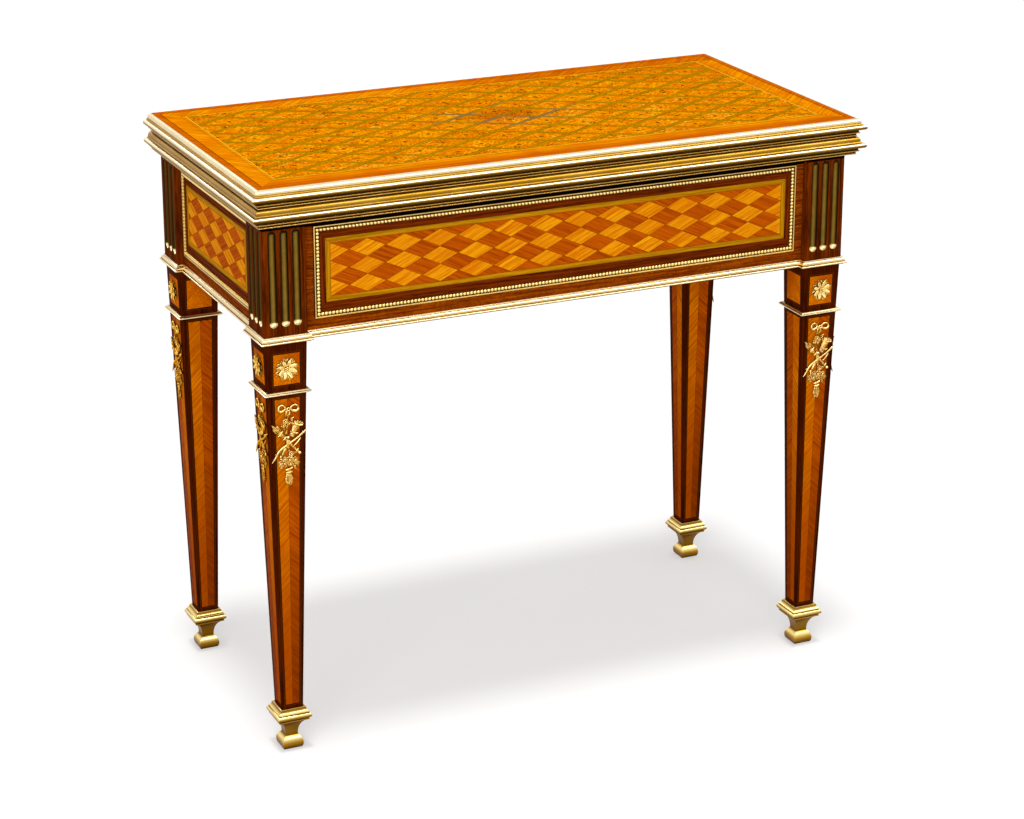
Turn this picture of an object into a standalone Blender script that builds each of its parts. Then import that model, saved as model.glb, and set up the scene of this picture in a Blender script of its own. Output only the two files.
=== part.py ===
"""A fold-over games table in the Louis XVI manner: parquetry on four tapered legs, with gilt-bronze mounts.

Metres, +Z up. The origin is on the floor at the middle of the closed table's footprint. The long front
looks along -Y. The two top leaves swivel a quarter turn on the frame and the upper one then unfolds.
"""

import math

import bmesh
import bpy
from mathutils import Matrix, Vector

# Overall sizes of the closed table
table_height = 0.780
top_width = 0.876
top_depth = 0.438
leaf_thickness = 0.0249
front_overhang = 0.025
side_overhang = 0.019
back_overhang = 0.013
frieze_height = 0.1556

# Clearances
gap = 0.0003
cut_overrun = 0.002
weld_distance = 0.00001

# Corner posts and legs
block_width = 0.058
leg_top_width = 0.0558
leg_foot_width = 0.0293
leg_foot_height = 0.0605
flute_width = 0.0108
flute_depth = 0.0040
flute_pitch = 0.0160
flute_top_margin = 0.0086
flute_foot_margin = 0.0210

# Frieze
rail_recess = 0.0095
rail_thickness = 0.020
groove_depth = 0.006
groove_margin = 0.007
floor_thickness = 0.010

# Colours, each as red, green, blue
mahogany = (0.115, 0.022, 0.005)
satinwood = (0.62, 0.24, 0.02)
oak = (0.30, 0.17, 0.07)
gilt_bronze = (0.62, 0.44, 0.16)
old_brass = (0.48, 0.34, 0.13)
steel = (0.30, 0.29, 0.27)
green_baize = (0.03, 0.12, 0.06)

# Levels and half sizes worked out from them
upper_leaf_bottom = table_height - leaf_thickness
lower_leaf_top = upper_leaf_bottom - gap
lower_leaf_bottom = lower_leaf_top - leaf_thickness
frame_top = lower_leaf_bottom - gap
frame_bottom = frame_top - frieze_height
base_width = top_width - 2 * side_overhang
base_depth = top_depth - front_overhang - back_overhang
block_half = block_width / 2


def clear_scene():
    for old in list(bpy.data.objects):
        bpy.data.objects.remove(old, do_unlink=True)


def make_material(name, colour, roughness, metallic):
    material = bpy.data.materials.new(name)
    material.use_nodes = True
    shader = material.node_tree.nodes["Principled BSDF"]
    shader.inputs["Base Color"].default_value = (*colour, 1)
    shader.inputs["Roughness"].default_value = roughness
    shader.inputs["Metallic"].default_value = metallic
    material.diffuse_color = (*colour, 1)
    return material


def mesh_from(bm, name):
    bmesh.ops.recalc_face_normals(bm, faces=bm.faces)
    mesh = bpy.data.meshes.new(name)
    bm.to_mesh(mesh)
    bm.free()
    return mesh


def place(name, mesh, colour, location=(0, 0, 0), rotation=(0, 0, 0), parent=None, roughness=0.4, metallic=0):
    """One piece: its own object and its own material. Pieces may share a mesh."""
    if not mesh.materials:
        mesh.materials.append(None)
    thing = bpy.data.objects.new(name, mesh)
    bpy.context.scene.collection.objects.link(thing)
    thing.location = location
    thing.rotation_euler = rotation
    thing.parent = parent
    thing.material_slots[0].link = "OBJECT"
    thing.material_slots[0].material = make_material(name, colour, roughness, metallic)
    return thing


def gilt(name, mesh, location=(0, 0, 0), rotation=(0, 0, 0), parent=None):
    return place(name, mesh, gilt_bronze, location, rotation, parent, 0.25, 1)


def shade_round(mesh, sharp_angle=math.radians(35)):
    mesh.shade_smooth()
    mesh.set_sharp_from_angle(angle=sharp_angle)
    return mesh


def box(low, high):
    """A bmesh block from its lowest to its highest corner."""
    bm = bmesh.new()
    bmesh.ops.create_cube(bm, size=1)
    low, high = Vector(low), Vector(high)
    size = high - low
    bmesh.ops.scale(bm, vec=size, verts=bm.verts)
    bmesh.ops.translate(bm, vec=(low + high) / 2, verts=bm.verts)
    return bm


def arc(centre, radii, start, end, steps):
    """Points of a round or oval arc; the angles are in degrees."""
    points = []
    for step in range(steps + 1):
        angle = math.radians(start + (end - start) * step / steps)
        points.append((centre[0] + radii[0] * math.cos(angle), centre[1] + radii[1] * math.sin(angle)))
    return points


def sweep(profile, path, closed):
    """A moulding run round a path with mitred corners. The profile is (outward, upward); the path runs
    anticlockwise seen from above, so that outward is on its right."""
    bm = bmesh.new()
    corners = [Vector(point) for point in path]
    count = len(corners)
    rings = []
    for index, corner in enumerate(corners):
        before = corner - corners[index - 1]
        after = corners[(index + 1) % count] - corner
        if not closed and index == 0:
            before = after
        if not closed and index == count - 1:
            after = before
        normals = [Vector((run.y, -run.x)).normalized() for run in (before, after)]
        mitre = (normals[0] + normals[1]) / (1 + normals[0].dot(normals[1]))
        ring = []
        for outward, upward in profile:
            spot = corner + mitre * outward
            ring.append(bm.verts.new((spot.x, spot.y, upward)))
        rings.append(ring)
    pairs = list(zip(rings, rings[1:]))
    if closed:
        pairs.append((rings[-1], rings[0]))
    for first, second in pairs:
        for index in range(len(profile)):
            following = (index + 1) % len(profile)
            bm.faces.new((first[index], first[following], second[following], second[index]))
    if not closed:
        bm.faces.new(rings[0])
        bm.faces.new(reversed(rings[-1]))
    return bm


def stacked_squares(sections):
    """A square body from its (half width, level) sections, the first and the last one closed."""
    bm = bmesh.new()
    rings = []
    for half, level in sections:
        corners = ((-half, -half), (half, -half), (half, half), (-half, half))
        rings.append([bm.verts.new((x, y, level)) for x, y in corners])
    for lower, upper in zip(rings, rings[1:]):
        for index in range(4):
            following = (index + 1) % 4
            bm.faces.new((lower[index], lower[following], upper[following], upper[index]))
    bm.faces.new(reversed(rings[0]))
    bm.faces.new(rings[-1])
    return bm


def extruded(outline, low, high):
    """A flat outline in X and Y, given thickness from low to high."""
    bm = bmesh.new()
    face = bm.faces.new([bm.verts.new((x, y, low)) for x, y in outline])
    made = bmesh.ops.extrude_face_region(bm, geom=[face])
    top = [item for item in made["geom"] if isinstance(item, bmesh.types.BMVert)]
    bmesh.ops.translate(bm, vec=(0, 0, high - low), verts=top)
    return bm


def turned(profile, steps, axis_closed=True):
    """A lathe-turned body about Z from (radius, level) points, bottom to top."""
    bm = bmesh.new()
    verts = [bm.verts.new((radius, 0, level)) for radius, level in profile]
    edges = [bm.edges.new(pair) for pair in zip(verts, verts[1:])]
    if not axis_closed:
        edges.append(bm.edges.new((verts[-1], verts[0])))
    bmesh.ops.spin(
        bm, geom=verts + edges, cent=(0, 0, 0), axis=(0, 0, 1), angle=math.tau, steps=steps, use_merge=True
    )
    bmesh.ops.remove_doubles(bm, verts=bm.verts, dist=weld_distance)
    return bm


def tube(points, radii, sides, closed=False):
    """A rod along points in the X-Z plane, with a radius at each point."""
    bm = bmesh.new()
    rings = []
    count = len(points)
    for index, (x, z) in enumerate(points):
        if closed:
            back, ahead = points[index - 1], points[(index + 1) % count]
        else:
            back, ahead = points[max(index - 1, 0)], points[min(index + 1, count - 1)]
        along = Vector((ahead[0] - back[0], 0, ahead[1] - back[1])).normalized()
        across = along.cross(Vector((0, 1, 0)))
        ring = []
        for side in range(sides):
            angle = math.tau * side / sides
            spot = Vector((x, 0, z)) + across * (radii[index] * math.cos(angle))
            spot.y += radii[index] * math.sin(angle)
            ring.append(bm.verts.new(spot))
        rings.append(ring)
    pairs = list(zip(rings, rings[1:]))
    if closed:
        pairs.append((rings[-1], rings[0]))
    for first, second in pairs:
        for side in range(sides):
            following = (side + 1) % sides
            bm.faces.new((first[side], first[following], second[following], second[side]))
    if not closed:
        bm.faces.new(rings[0])
        bm.faces.new(reversed(rings[-1]))
    return bm


def combined(body, operation, others, name, solver="EXACT"):
    """The body with the other bmeshes cut out of it or joined to it, as one mesh."""
    main = bpy.data.objects.new(name + "_body", mesh_from(body, name))
    bpy.context.scene.collection.objects.link(main)
    helpers = []
    for number, other in enumerate(others):
        helper = bpy.data.objects.new(f"{name}_tool_{number}", mesh_from(other, name))
        bpy.context.scene.collection.objects.link(helper)
        helper.hide_render = True
        helper.display_type = "WIRE"
        helpers.append(helper)
        boolean = main.modifiers.new(helper.name, "BOOLEAN")
        boolean.operation = operation
        boolean.solver = solver
        boolean.object = helper
    bpy.context.view_layer.update()
    graph = bpy.context.evaluated_depsgraph_get()
    mesh = bpy.data.meshes.new_from_object(main.evaluated_get(graph))
    mesh.name = name
    for thing in [main, *helpers]:
        bpy.data.objects.remove(thing, do_unlink=True)
    return mesh


def bmesh_of(mesh):
    bm = bmesh.new()
    bm.from_mesh(mesh)
    return bm


clear_scene()

# Where the frame stands under the top, and where the top turns
hinge_barrel_radius = 0.0025
footprint_depth = top_depth + gap / 2 + hinge_barrel_radius
top_front = -footprint_depth / 2
top_back = top_front + top_depth
base_front = top_front + front_overhang
base_centre_y = base_front + base_depth / 2
fold_y = top_back + gap / 2
fold_level = upper_leaf_bottom - gap / 2
pivot_x = (fold_y - base_centre_y) / 2
pivot_y = (fold_y + base_centre_y) / 2

swivel_axis = bpy.data.objects.new("swivel_axis", None)
swivel_axis.location = (pivot_x, pivot_y, frame_top)
leaf_hinge_axis = bpy.data.objects.new("leaf_hinge_axis", None)
leaf_hinge_axis.parent = swivel_axis
leaf_hinge_axis.location = (-pivot_x, fold_y - pivot_y, fold_level - frame_top)
for empty in (swivel_axis, leaf_hinge_axis):
    bpy.context.scene.collection.objects.link(empty)

# Leg: a square corner post with three flutes on each outer face, tapering below the frame
sabot_socket_depth = 0.006
leg_half_top = leg_top_width / 2
leg_half_foot = leg_foot_width / 2
leg_bottom = leg_foot_height - sabot_socket_depth
leg_slope_share = (leg_half_top - leg_half_foot) / (frame_bottom - leg_foot_height)
leg_tilt = math.atan(leg_slope_share)
flute_end_steps = 3
flute_sides = 12


def leg_half_at(level):
    """Half the leg's width at a height above the floor."""
    return leg_half_foot + leg_slope_share * (level - leg_foot_height)


def flute_cutter(centre_x):
    """A rod with round ends that cuts one flute in the face at -Y."""
    radius = (flute_width**2 / 4 + flute_depth**2) / (2 * flute_depth)
    centre_y = -block_half - (radius - flute_depth)
    half_mouth = flute_width / 2
    low = frame_bottom + flute_foot_margin + half_mouth
    high = frame_top - flute_top_margin - half_mouth
    foot = [(r, low + z) for r, z in arc((0, 0), (radius, radius), -90, 0, flute_end_steps)]
    head = [(r, high + z) for r, z in arc((0, 0), (radius, radius), 0, 90, flute_end_steps)]
    profile = [(0, foot[0][1]), *foot[1:], *head[:-1], (0, head[-1][1])]
    bm = turned(profile, flute_sides)
    bmesh.ops.rotate(bm, verts=bm.verts, matrix=Matrix.Rotation(math.pi / flute_sides, 3, "Z"))
    bmesh.ops.translate(bm, verts=bm.verts, vec=(centre_x, centre_y, 0))
    return bm


def leg_mesh():
    body = stacked_squares(
        [
            (leg_half_at(leg_bottom), leg_bottom),
            (leg_half_top, frame_bottom),
            (block_half, frame_bottom),
            (block_half, frame_top),
        ]
    )
    cutters = []
    for place_in_row in (-1, 0, 1):
        front = flute_cutter(place_in_row * flute_pitch)
        side = flute_cutter(place_in_row * flute_pitch)
        bmesh.ops.rotate(side, verts=side.verts, matrix=Matrix.Rotation(math.radians(-90), 3, "Z"))
        cutters += [front, side]
    return combined(body, "DIFFERENCE", cutters, "leg")


# Sabot: a cast square cap, a waisted neck and a cushion foot under each leg
sabot_rim_wall = 0.0014
sabot_cap_projection = 0.0072
sabot_neck_half = 0.0092
sabot_pad_half = 0.0132
sabot_steps = 6


def sabot_mesh():
    socket_half = leg_half_at(leg_foot_height) + gap
    rim_half = socket_half + sabot_rim_wall
    cap_half = rim_half + sabot_cap_projection
    height = leg_foot_height
    pad_middle = height * 0.17
    neck_level = height * 0.39
    hollow_top = height * 0.70
    cap_low = height * 0.74
    cap_high = height * 0.87
    ovolo_low = height * 0.89
    ovolo_high = height * 0.98
    shelf = sabot_cap_projection * 0.35
    lip = sabot_cap_projection * 0.2
    pad_bulge = sabot_pad_half - sabot_neck_half
    pad = arc((sabot_neck_half, pad_middle), (pad_bulge, pad_middle), -40, 75, sabot_steps)
    hollow_reach = cap_half - shelf - lip - sabot_neck_half
    hollow_centre = (sabot_neck_half + hollow_reach, neck_level)
    hollow = arc(hollow_centre, (hollow_reach, hollow_top - neck_level), 180, 100, sabot_steps)
    cap_centre = (cap_half - lip, (cap_low + cap_high) / 2)
    cap = arc(cap_centre, (lip, (cap_high - cap_low) / 2), -90, 90, sabot_steps)
    ovolo_radii = (cap_half - lip - rim_half, ovolo_high - ovolo_low)
    ovolo = arc((rim_half, ovolo_low), ovolo_radii, 0, 80, sabot_steps // 2)
    sections = [
        (sabot_pad_half - lip / 2, 0),
        *pad,
        *hollow,
        (cap_half - shelf, hollow_top),
        (cap_half - shelf, cap_low - (cap_low - hollow_top) / 4),
        *cap,
        *ovolo,
        (rim_half, height),
        (socket_half, height),
        (socket_half, leg_bottom - gap),
    ]
    return stacked_squares(sections)


# Collar: a thin gilt moulding round each leg under its rosette block
collar_drop = 0.0674
collar_height = 0.0056
collar_projection = 0.0055
collar_steps = 3
collar_level = frame_bottom - collar_drop


def collar_mesh():
    half = leg_half_at(collar_level)
    low, high = collar_level - collar_height / 2, collar_level + collar_height / 2
    lip = collar_height / 4
    crown = arc((0, low + 2 * lip), (collar_projection * 0.8, high - low - 2 * lip), 0, 75, collar_steps)
    profile = [
        (leg_half_at(low) - half + gap, low),
        (collar_projection * 0.6, low),
        (collar_projection, low + lip),
        (collar_projection, low + 2 * lip),
        *[(out + gap, up) for out, up in crown],
        (leg_half_at(high) - half + gap, high),
    ]
    return sweep(profile, [(-half, -half), (half, -half), (half, half), (-half, half)], True)


# Rosette: a cast flower of two rings of petals on each outer face of the upper leg
rosette_drop = 0.0355
rosette_radius = 0.0150
rosette_rise = 0.0052
rosette_petals = 14
rosette_valley_share = 0.80
rosette_rings_shares = ((0.62, 0.62), (0.30, 0.70), (0.20, 1.0))
rosette_level = frame_bottom - rosette_drop


def rosette_mesh():
    bm = bmesh.new()
    rings = []
    outer = []
    for step in range(2 * rosette_petals):
        angle = math.pi * step / rosette_petals
        radius = rosette_radius * (1 if step % 2 == 0 else rosette_valley_share)
        outer.append((radius * math.cos(angle), radius * math.sin(angle)))
    for depth in (gap, gap + rosette_rise / 4):
        rings.append([bm.verts.new((x, -depth, z)) for x, z in outer])
    for radius_share, rise_share in rosette_rings_shares:
        depth = gap + rosette_rise * rise_share
        rings.append([bm.verts.new((x * radius_share, -depth, z * radius_share)) for x, z in outer])
    count = len(outer)
    for lower, upper in zip(rings, rings[1:]):
        for index in range(count):
            following = (index + 1) % count
            bm.faces.new((lower[index], lower[following], upper[following], upper[index]))
    bm.faces.new(rings[0])
    bm.faces.new(rings[-1])
    return bm


# Trophy: a ribbon bow, flower stem, crossed quiver and torch, archer's bow, posy and leaf drop, cast in one
trophy_drop = 0.0815
trophy_height = 0.1140
trophy_width = 0.0460
trophy_relief = 0.0050
trophy_sides = 5
ribbon_sides = 4
ribbon_share = 0.28
trophy_top_level = frame_bottom - trophy_drop

# Each rod: its lift off the wood, its course (across from the middle, down from the top) and its radii
trophy_rods_shares = {
    "stem": (0, [(0, 0.06), (-0.02, 0.26), (0, 0.45), (0.02, 0.60), (0, 0.80)], (0.4, 0.7, 0.9, 0.8, 0.5)),
    "tail": (0.12, [(-0.11, 0.26), (0.24, 0.19), (0.31, 0.25)], (0.4, 0.5, 0.4)),
    "torch": (0.27, [(-0.48, 0.24), (-0.24, 0.34), (0.04, 0.45), (0.33, 0.58)], (0.5, 0.8, 0.6, 0.7)),
    "quiver": (0.09, [(0.36, 0.20), (0.16, 0.33), (-0.12, 0.50), (-0.24, 0.62)], (1.0, 1.0, 0.6, 0.5)),
    "archer_bow": (0.19, [(0.49, 0.31), (0.20, 0.43), (-0.20, 0.52), (-0.49, 0.70)], (0.3, 0.4, 0.4, 0.3)),
    "leaf_drop": (-0.03, [(0, 0.82), (0, 0.90), (0, 1.0)], (0.5, 1.0, 0.2)),
}

# Each ribbon loop: its lift, centre and radii; each boss: its lift, centre and radius
trophy_loops_shares = [
    (0.17, (-0.21, 0.055), (0.17, 0.10), 8),
    (0.21, (0.21, 0.050), (0.17, 0.10), 8),
    (0.15, (0.0, 0.795), (0.085, 0.085), 6),
]
trophy_bosses_shares = [
    (0.05, (0.0, 0.060), 0.09),
    (-0.70, (0.04, 0.62), 0.20),
    (-0.30, (-0.18, 0.68), 0.16),
    (-0.25, (0.20, 0.69), 0.16),
]


def trophy_spot(across_share, down_share):
    return (across_share * trophy_width, -down_share * trophy_height)


def lifted(bm, lift_share):
    bmesh.ops.translate(bm, verts=bm.verts, vec=(0, -lift_share * trophy_relief, 0))
    return bm


def trophy_rod(lift_share, course_shares, radii_shares):
    points = [trophy_spot(*shares) for shares in course_shares]
    radii = [share * trophy_relief for share in radii_shares]
    return lifted(tube(points, radii, trophy_sides), lift_share)


def trophy_loop(lift_share, centre_shares, radii_shares, steps):
    centre = trophy_spot(*centre_shares)
    radii = [share * trophy_width for share in radii_shares]
    points = arc(centre, radii, 0, 360, steps)[:-1]
    ribbon = [trophy_relief * ribbon_share] * steps
    return lifted(tube(points, ribbon, ribbon_sides, True), lift_share)


def trophy_boss(lift_share, centre_shares, radius_share):
    bm = bmesh.new()
    bmesh.ops.create_icosphere(bm, subdivisions=1, radius=radius_share * trophy_width)
    x, z = trophy_spot(*centre_shares)
    bmesh.ops.translate(bm, verts=bm.verts, vec=(x, 0, z))
    return lifted(bm, lift_share)


def trophy_mesh():
    stem, *rods = [trophy_rod(*shares) for shares in trophy_rods_shares.values()]
    loops = [trophy_loop(*shares) for shares in trophy_loops_shares]
    bosses = [trophy_boss(*shares) for shares in trophy_bosses_shares]
    whole = combined(stem, "UNION", [*rods, *loops, *bosses], "trophy_round")
    reach = trophy_width + trophy_height
    wood_side = box((-reach, -gap, -reach), (reach, reach, reach))
    return combined(bmesh_of(whole), "DIFFERENCE", [wood_side], "trophy", "MANIFOLD")


# The four corners of the base, each with its leg, sabot, collar, two rosettes and two trophies
corner_names = ("front_left", "front_right", "back_right", "back_left")
face_names = ("front", "right", "back", "left")
leg_shape = leg_mesh()
sabot_shape = mesh_from(sabot_mesh(), "sabot")
collar_shape = mesh_from(collar_mesh(), "collar")
rosette_shape = mesh_from(rosette_mesh(), "rosette")
trophy_shape = trophy_mesh()
for quarter, corner in enumerate(corner_names):
    turn = quarter * math.pi / 2
    side_x = 1 if "right" in corner else -1
    side_y = 1 if "back" in corner else -1
    axis_x = side_x * (base_width / 2 - block_half)
    axis_y = base_centre_y + side_y * (base_depth / 2 - block_half)
    foot = (axis_x, axis_y, 0)
    place(f"leg_{corner}", leg_shape, mahogany, foot, (0, 0, turn), roughness=0.3)
    gilt(f"sabot_{corner}", sabot_shape, foot, (0, 0, turn))
    gilt(f"collar_{corner}", collar_shape, foot, (0, 0, turn))
    for face in (quarter, quarter - 1):
        facing = face * math.pi / 2
        outward = Vector((math.sin(facing), -math.cos(facing), 0))
        for piece, shape, level in (
            ("rosette", rosette_shape, rosette_level),
            ("trophy", trophy_shape, trophy_top_level),
        ):
            spot = Vector(foot) + outward * leg_half_at(level)
            spot.z = level
            gilt(f"{piece}_{corner}_{face_names[face]}", shape, spot, (leg_tilt, 0, facing))

# Frieze rails, tenoned between the corner posts, each with a groove inside for the well's floor
groove_low = frame_bottom + groove_margin
groove_high = groove_low + floor_thickness + 2 * gap


def rail_mesh(length):
    """A rail along X with its outer face at -Y, drawn in section and run to its length."""
    inner = rail_recess + rail_thickness
    section = [
        (rail_recess, frame_bottom),
        (inner, frame_bottom),
        (inner, groove_low),
        (inner - groove_depth, groove_low),
        (inner - groove_depth, groove_high),
        (inner, groove_high),
        (inner, frame_top),
        (rail_recess, frame_top),
    ]
    bm = bmesh.new()
    face = bm.faces.new([bm.verts.new((-length / 2, y, z)) for y, z in section])
    made = bmesh.ops.extrude_face_region(bm, geom=[face])
    far = [item for item in made["geom"] if isinstance(item, bmesh.types.BMVert)]
    bmesh.ops.translate(bm, vec=(length, 0, 0), verts=far)
    return bm


# Beaded frame: a gilt fillet and a row of pearls round each parquetry panel
bead_frame_width = 0.008
bead_frame_rise = 0.0036
bead_frame_top_margin = 0.0106
bead_frame_foot_margin = 0.0234
bead_frame_end_margins = {"front": 0.0126, "back": 0.0126, "left": 0.0070, "right": 0.0070}
parquetry_thickness = 0.0012
bead_steps = 4


def panel_corners(length, end_margin):
    """The bead frame's outer rectangle on a rail, as X and Z."""
    low = frame_bottom + bead_frame_foot_margin
    high = frame_top - bead_frame_top_margin
    half = length / 2 - end_margin
    return [(-half, low), (half, low), (half, high), (-half, high)]


def bead_frame_mesh(length, end_margin):
    fillet = bead_frame_width / 4
    pearl = arc(
        (-bead_frame_width * 0.6, bead_frame_rise * 0.45),
        (bead_frame_width * 0.25, bead_frame_rise * 0.55),
        20,
        160,
        bead_steps,
    )
    profile = [
        (-bead_frame_width, gap),
        (0, gap),
        (0, bead_frame_rise * 0.6),
        (-fillet, bead_frame_rise * 0.75),
        *pearl,
        (-bead_frame_width, bead_frame_rise * 0.4),
    ]
    bm = sweep(profile, panel_corners(length, end_margin), True)
    bmesh.ops.rotate(bm, verts=bm.verts, matrix=Matrix.Rotation(math.pi / 2, 3, "X"))
    return bm


def parquetry_mesh(length, end_margin):
    low, _, high, _ = panel_corners(length, end_margin)
    inset = bead_frame_width + gap
    return box(
        (low[0] + inset, -gap - parquetry_thickness, low[1] + inset),
        (high[0] - inset, -gap, high[1] - inset),
    )


for quarter, side in enumerate(face_names):
    turn = quarter * math.pi / 2
    along_x = side in ("front", "back")
    half_across = (base_depth if along_x else base_width) / 2
    length = (base_width if along_x else base_depth) - 2 * block_width - 2 * gap
    outward = Vector((math.sin(turn), -math.cos(turn), 0))
    centre = Vector((0, base_centre_y, 0))
    face_at = centre + outward * half_across
    rail_face_at = face_at - outward * rail_recess
    rail = mesh_from(rail_mesh(length), "rail")
    place(f"frieze_rail_{side}", rail, mahogany, face_at, (0, 0, turn), roughness=0.35)
    end_margin = bead_frame_end_margins[side]
    frame_shape = mesh_from(bead_frame_mesh(length, end_margin), "bead_frame")
    gilt(f"bead_frame_{side}", frame_shape, rail_face_at, (0, 0, turn))
    panel = mesh_from(parquetry_mesh(length, end_margin), "parquetry")
    place(f"parquetry_{side}", panel, satinwood, rail_face_at, (0, 0, turn), roughness=0.3)

# Apron moulding: a gilt strip along the foot of the frieze that breaks forward round each corner post
apron_height = 0.0106
apron_projection = 0.0064
apron_drop = 0.0010
apron_steps = 3


def apron_path():
    """The base's outline at the frieze, anticlockwise from the front left corner."""
    half_x, half_y = base_width / 2, base_depth / 2
    inner_x, inner_y = half_x - block_width, half_y - block_width
    points = []
    for turn, long_half, across_half in ((0, inner_x, half_y), (1, inner_y, half_x)) * 2:
        recessed = across_half - rail_recess
        points.append([(-long_half, -across_half), (-long_half, -recessed), (long_half, -recessed)])
        points[-1].append((long_half, -across_half))
    corners = [(-half_x, -half_y), (half_x, -half_y), (half_x, half_y), (-half_x, half_y)]
    path = []
    for quarter, (corner, run) in enumerate(zip(corners, points)):
        turn = Matrix.Rotation(quarter * math.pi / 2, 2)
        path.append(Vector(corner))
        path += [turn @ Vector(point) for point in run]
    return [(point.x, point.y + base_centre_y) for point in path]


def apron_mesh():
    low = frame_bottom - apron_drop
    fillet = apron_height * 0.17
    hollow = arc(
        (apron_projection * 0.12, low + 3 * fillet),
        (apron_projection * 0.62, apron_height - 3 * fillet),
        0,
        80,
        apron_steps,
    )
    profile = [
        (gap, low),
        (apron_projection * 0.4, low),
        (apron_projection * 0.4, low + fillet),
        (apron_projection * 0.95, low + 1.3 * fillet),
        (apron_projection, low + 2 * fillet),
        (apron_projection * 0.9, low + 2.8 * fillet),
        *hollow,
        (gap, low + apron_height),
    ]
    return sweep(profile, apron_path(), True)


gilt("apron_moulding", mesh_from(apron_mesh(), "apron_moulding"))

# Well floor: a thin board held in the rails' grooves that closes the storage well under the top
well_half_x = base_width / 2 - rail_recess - rail_thickness
well_half_y = base_depth / 2 - rail_recess - rail_thickness
post_inner_x = base_width / 2 - block_width
post_inner_y = base_depth / 2 - block_width


def well_floor_mesh():
    """The board's outline is notched at its corners for the posts."""
    outer_x, outer_y = well_half_x + groove_depth - gap, well_half_y + groove_depth - gap
    notch_x, notch_y = post_inner_x - gap, post_inner_y - gap
    outline = [
        (-outer_x, -notch_y),
        (-notch_x, -notch_y),
        (-notch_x, -outer_y),
        (notch_x, -outer_y),
        (notch_x, -notch_y),
        (outer_x, -notch_y),
        (outer_x, notch_y),
        (notch_x, notch_y),
        (notch_x, outer_y),
        (-notch_x, outer_y),
        (-notch_x, notch_y),
        (-outer_x, notch_y),
    ]
    low = groove_low + gap
    return extruded(outline, low, low + floor_thickness)


floor_mesh = mesh_from(well_floor_mesh(), "well_floor")
place("well_floor", floor_mesh, oak, (0, base_centre_y, 0), roughness=0.5)

# Pivot: a cross rail in the frame carries the bolt that the two leaves turn on, and a peg that stops them
cross_rail_width = 0.080
cross_rail_thickness = 0.024
pivot_bolt_radius = 0.006
pivot_plate_radius = 0.028
pivot_plate_thickness = 0.003
pivot_nut_radius = 0.0125
pivot_nut_height = 0.009
stop_radius = 0.058
stop_peg_radius = 0.003
stop_peg_rise = 0.0055
stop_peg_depth = 0.012
round_steps = 24
peg_steps = 12
swivel_range = math.radians(90)


def cylinder(radius, low, high, steps, centre=(0, 0)):
    bm = turned([(0, low), (radius, low), (radius, high), (0, high)], steps)
    bmesh.ops.translate(bm, verts=bm.verts, vec=(*centre, 0))
    return bm


def cross_rail_mesh():
    """Drawn about the pivot, with the bolt's and the peg's holes."""
    half = cross_rail_width / 2
    front = base_centre_y - well_half_y + gap - pivot_y
    back = base_centre_y + well_half_y - gap - pivot_y
    body = box((-half, front, -cross_rail_thickness), (half, back, 0))
    bolt_hole = cylinder(
        pivot_bolt_radius + gap, -cross_rail_thickness - cut_overrun, cut_overrun, round_steps
    )
    peg_hole_floor = -stop_peg_depth - gap
    peg_hole = cylinder(stop_peg_radius + gap, peg_hole_floor, cut_overrun, peg_steps, (0, -stop_radius))
    return combined(body, "DIFFERENCE", [bolt_hole, peg_hole], "cross_rail")


def pivot_bolt_mesh():
    """The plate is let into the lower leaf, and the bolt hangs from it through the cross rail."""
    plate_low = gap
    tail = -cross_rail_thickness - gap - pivot_nut_height - gap
    profile = [
        (0, tail),
        (pivot_bolt_radius, tail),
        (pivot_bolt_radius, plate_low),
        (pivot_plate_radius, plate_low),
        (pivot_plate_radius, plate_low + pivot_plate_thickness),
        (0, plate_low + pivot_plate_thickness),
    ]
    return turned(profile, round_steps)


def pivot_nut_mesh():
    high = -cross_rail_thickness - gap
    body = cylinder(pivot_nut_radius, high - pivot_nut_height, high, 6)
    hole = cylinder(
        pivot_bolt_radius + gap, high - pivot_nut_height - cut_overrun, high + cut_overrun, round_steps
    )
    return combined(body, "DIFFERENCE", [hole], "pivot_nut")


pivot_spot = (pivot_x, pivot_y, frame_top)
place("cross_rail", cross_rail_mesh(), oak, pivot_spot, roughness=0.5)
peg_low, peg_high = -stop_peg_depth, stop_peg_rise
peg = mesh_from(cylinder(stop_peg_radius, peg_low, peg_high, peg_steps, (0, -stop_radius)), "stop_peg")
place("stop_peg", shade_round(peg), old_brass, pivot_spot, roughness=0.35, metallic=1)
bolt = shade_round(mesh_from(pivot_bolt_mesh(), "pivot_bolt"))
place("pivot_bolt", bolt, steel, parent=swivel_axis, roughness=0.35, metallic=1)
nut = pivot_nut_mesh()
place("pivot_nut", nut, steel, parent=swivel_axis, roughness=0.35, metallic=1)

# Leaf hinges: brass plates let into the playing faces at the back, with their barrels on the folding line
hinge_length = 0.048
hinge_plate_depth = 0.020
hinge_plate_thickness = 0.0018
hinge_inset = 0.006
hinge_knuckle_gap = 0.0004
hinge_pin_radius = 0.0011
barrel_steps = 12
knuckle_ends_shares = (-0.5, -0.18, 0.18, 0.5)

# Leaves: two boards alike, edged with a gilt moulding on three sides and lined with baize inside
moulding_depth = 0.012
baize_thickness = 0.0012
baize_front_border = 0.045
baize_side_border = 0.060
baize_back_border = 0.016
top_parquetry_thickness = 0.0008
board_half_width = top_width / 2 - moulding_depth - gap
leaf_back = -gap / 2
board_front = leaf_back - (top_depth - moulding_depth - gap)


def barrel(radius, start, end):
    """A round body along X about the folding line."""
    bm = turned([(0, start), (radius, start), (radius, end), (0, end)], barrel_steps)
    bmesh.ops.rotate(bm, verts=bm.verts, matrix=Matrix.Rotation(math.pi / 2, 3, "Y"))
    return bm


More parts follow.
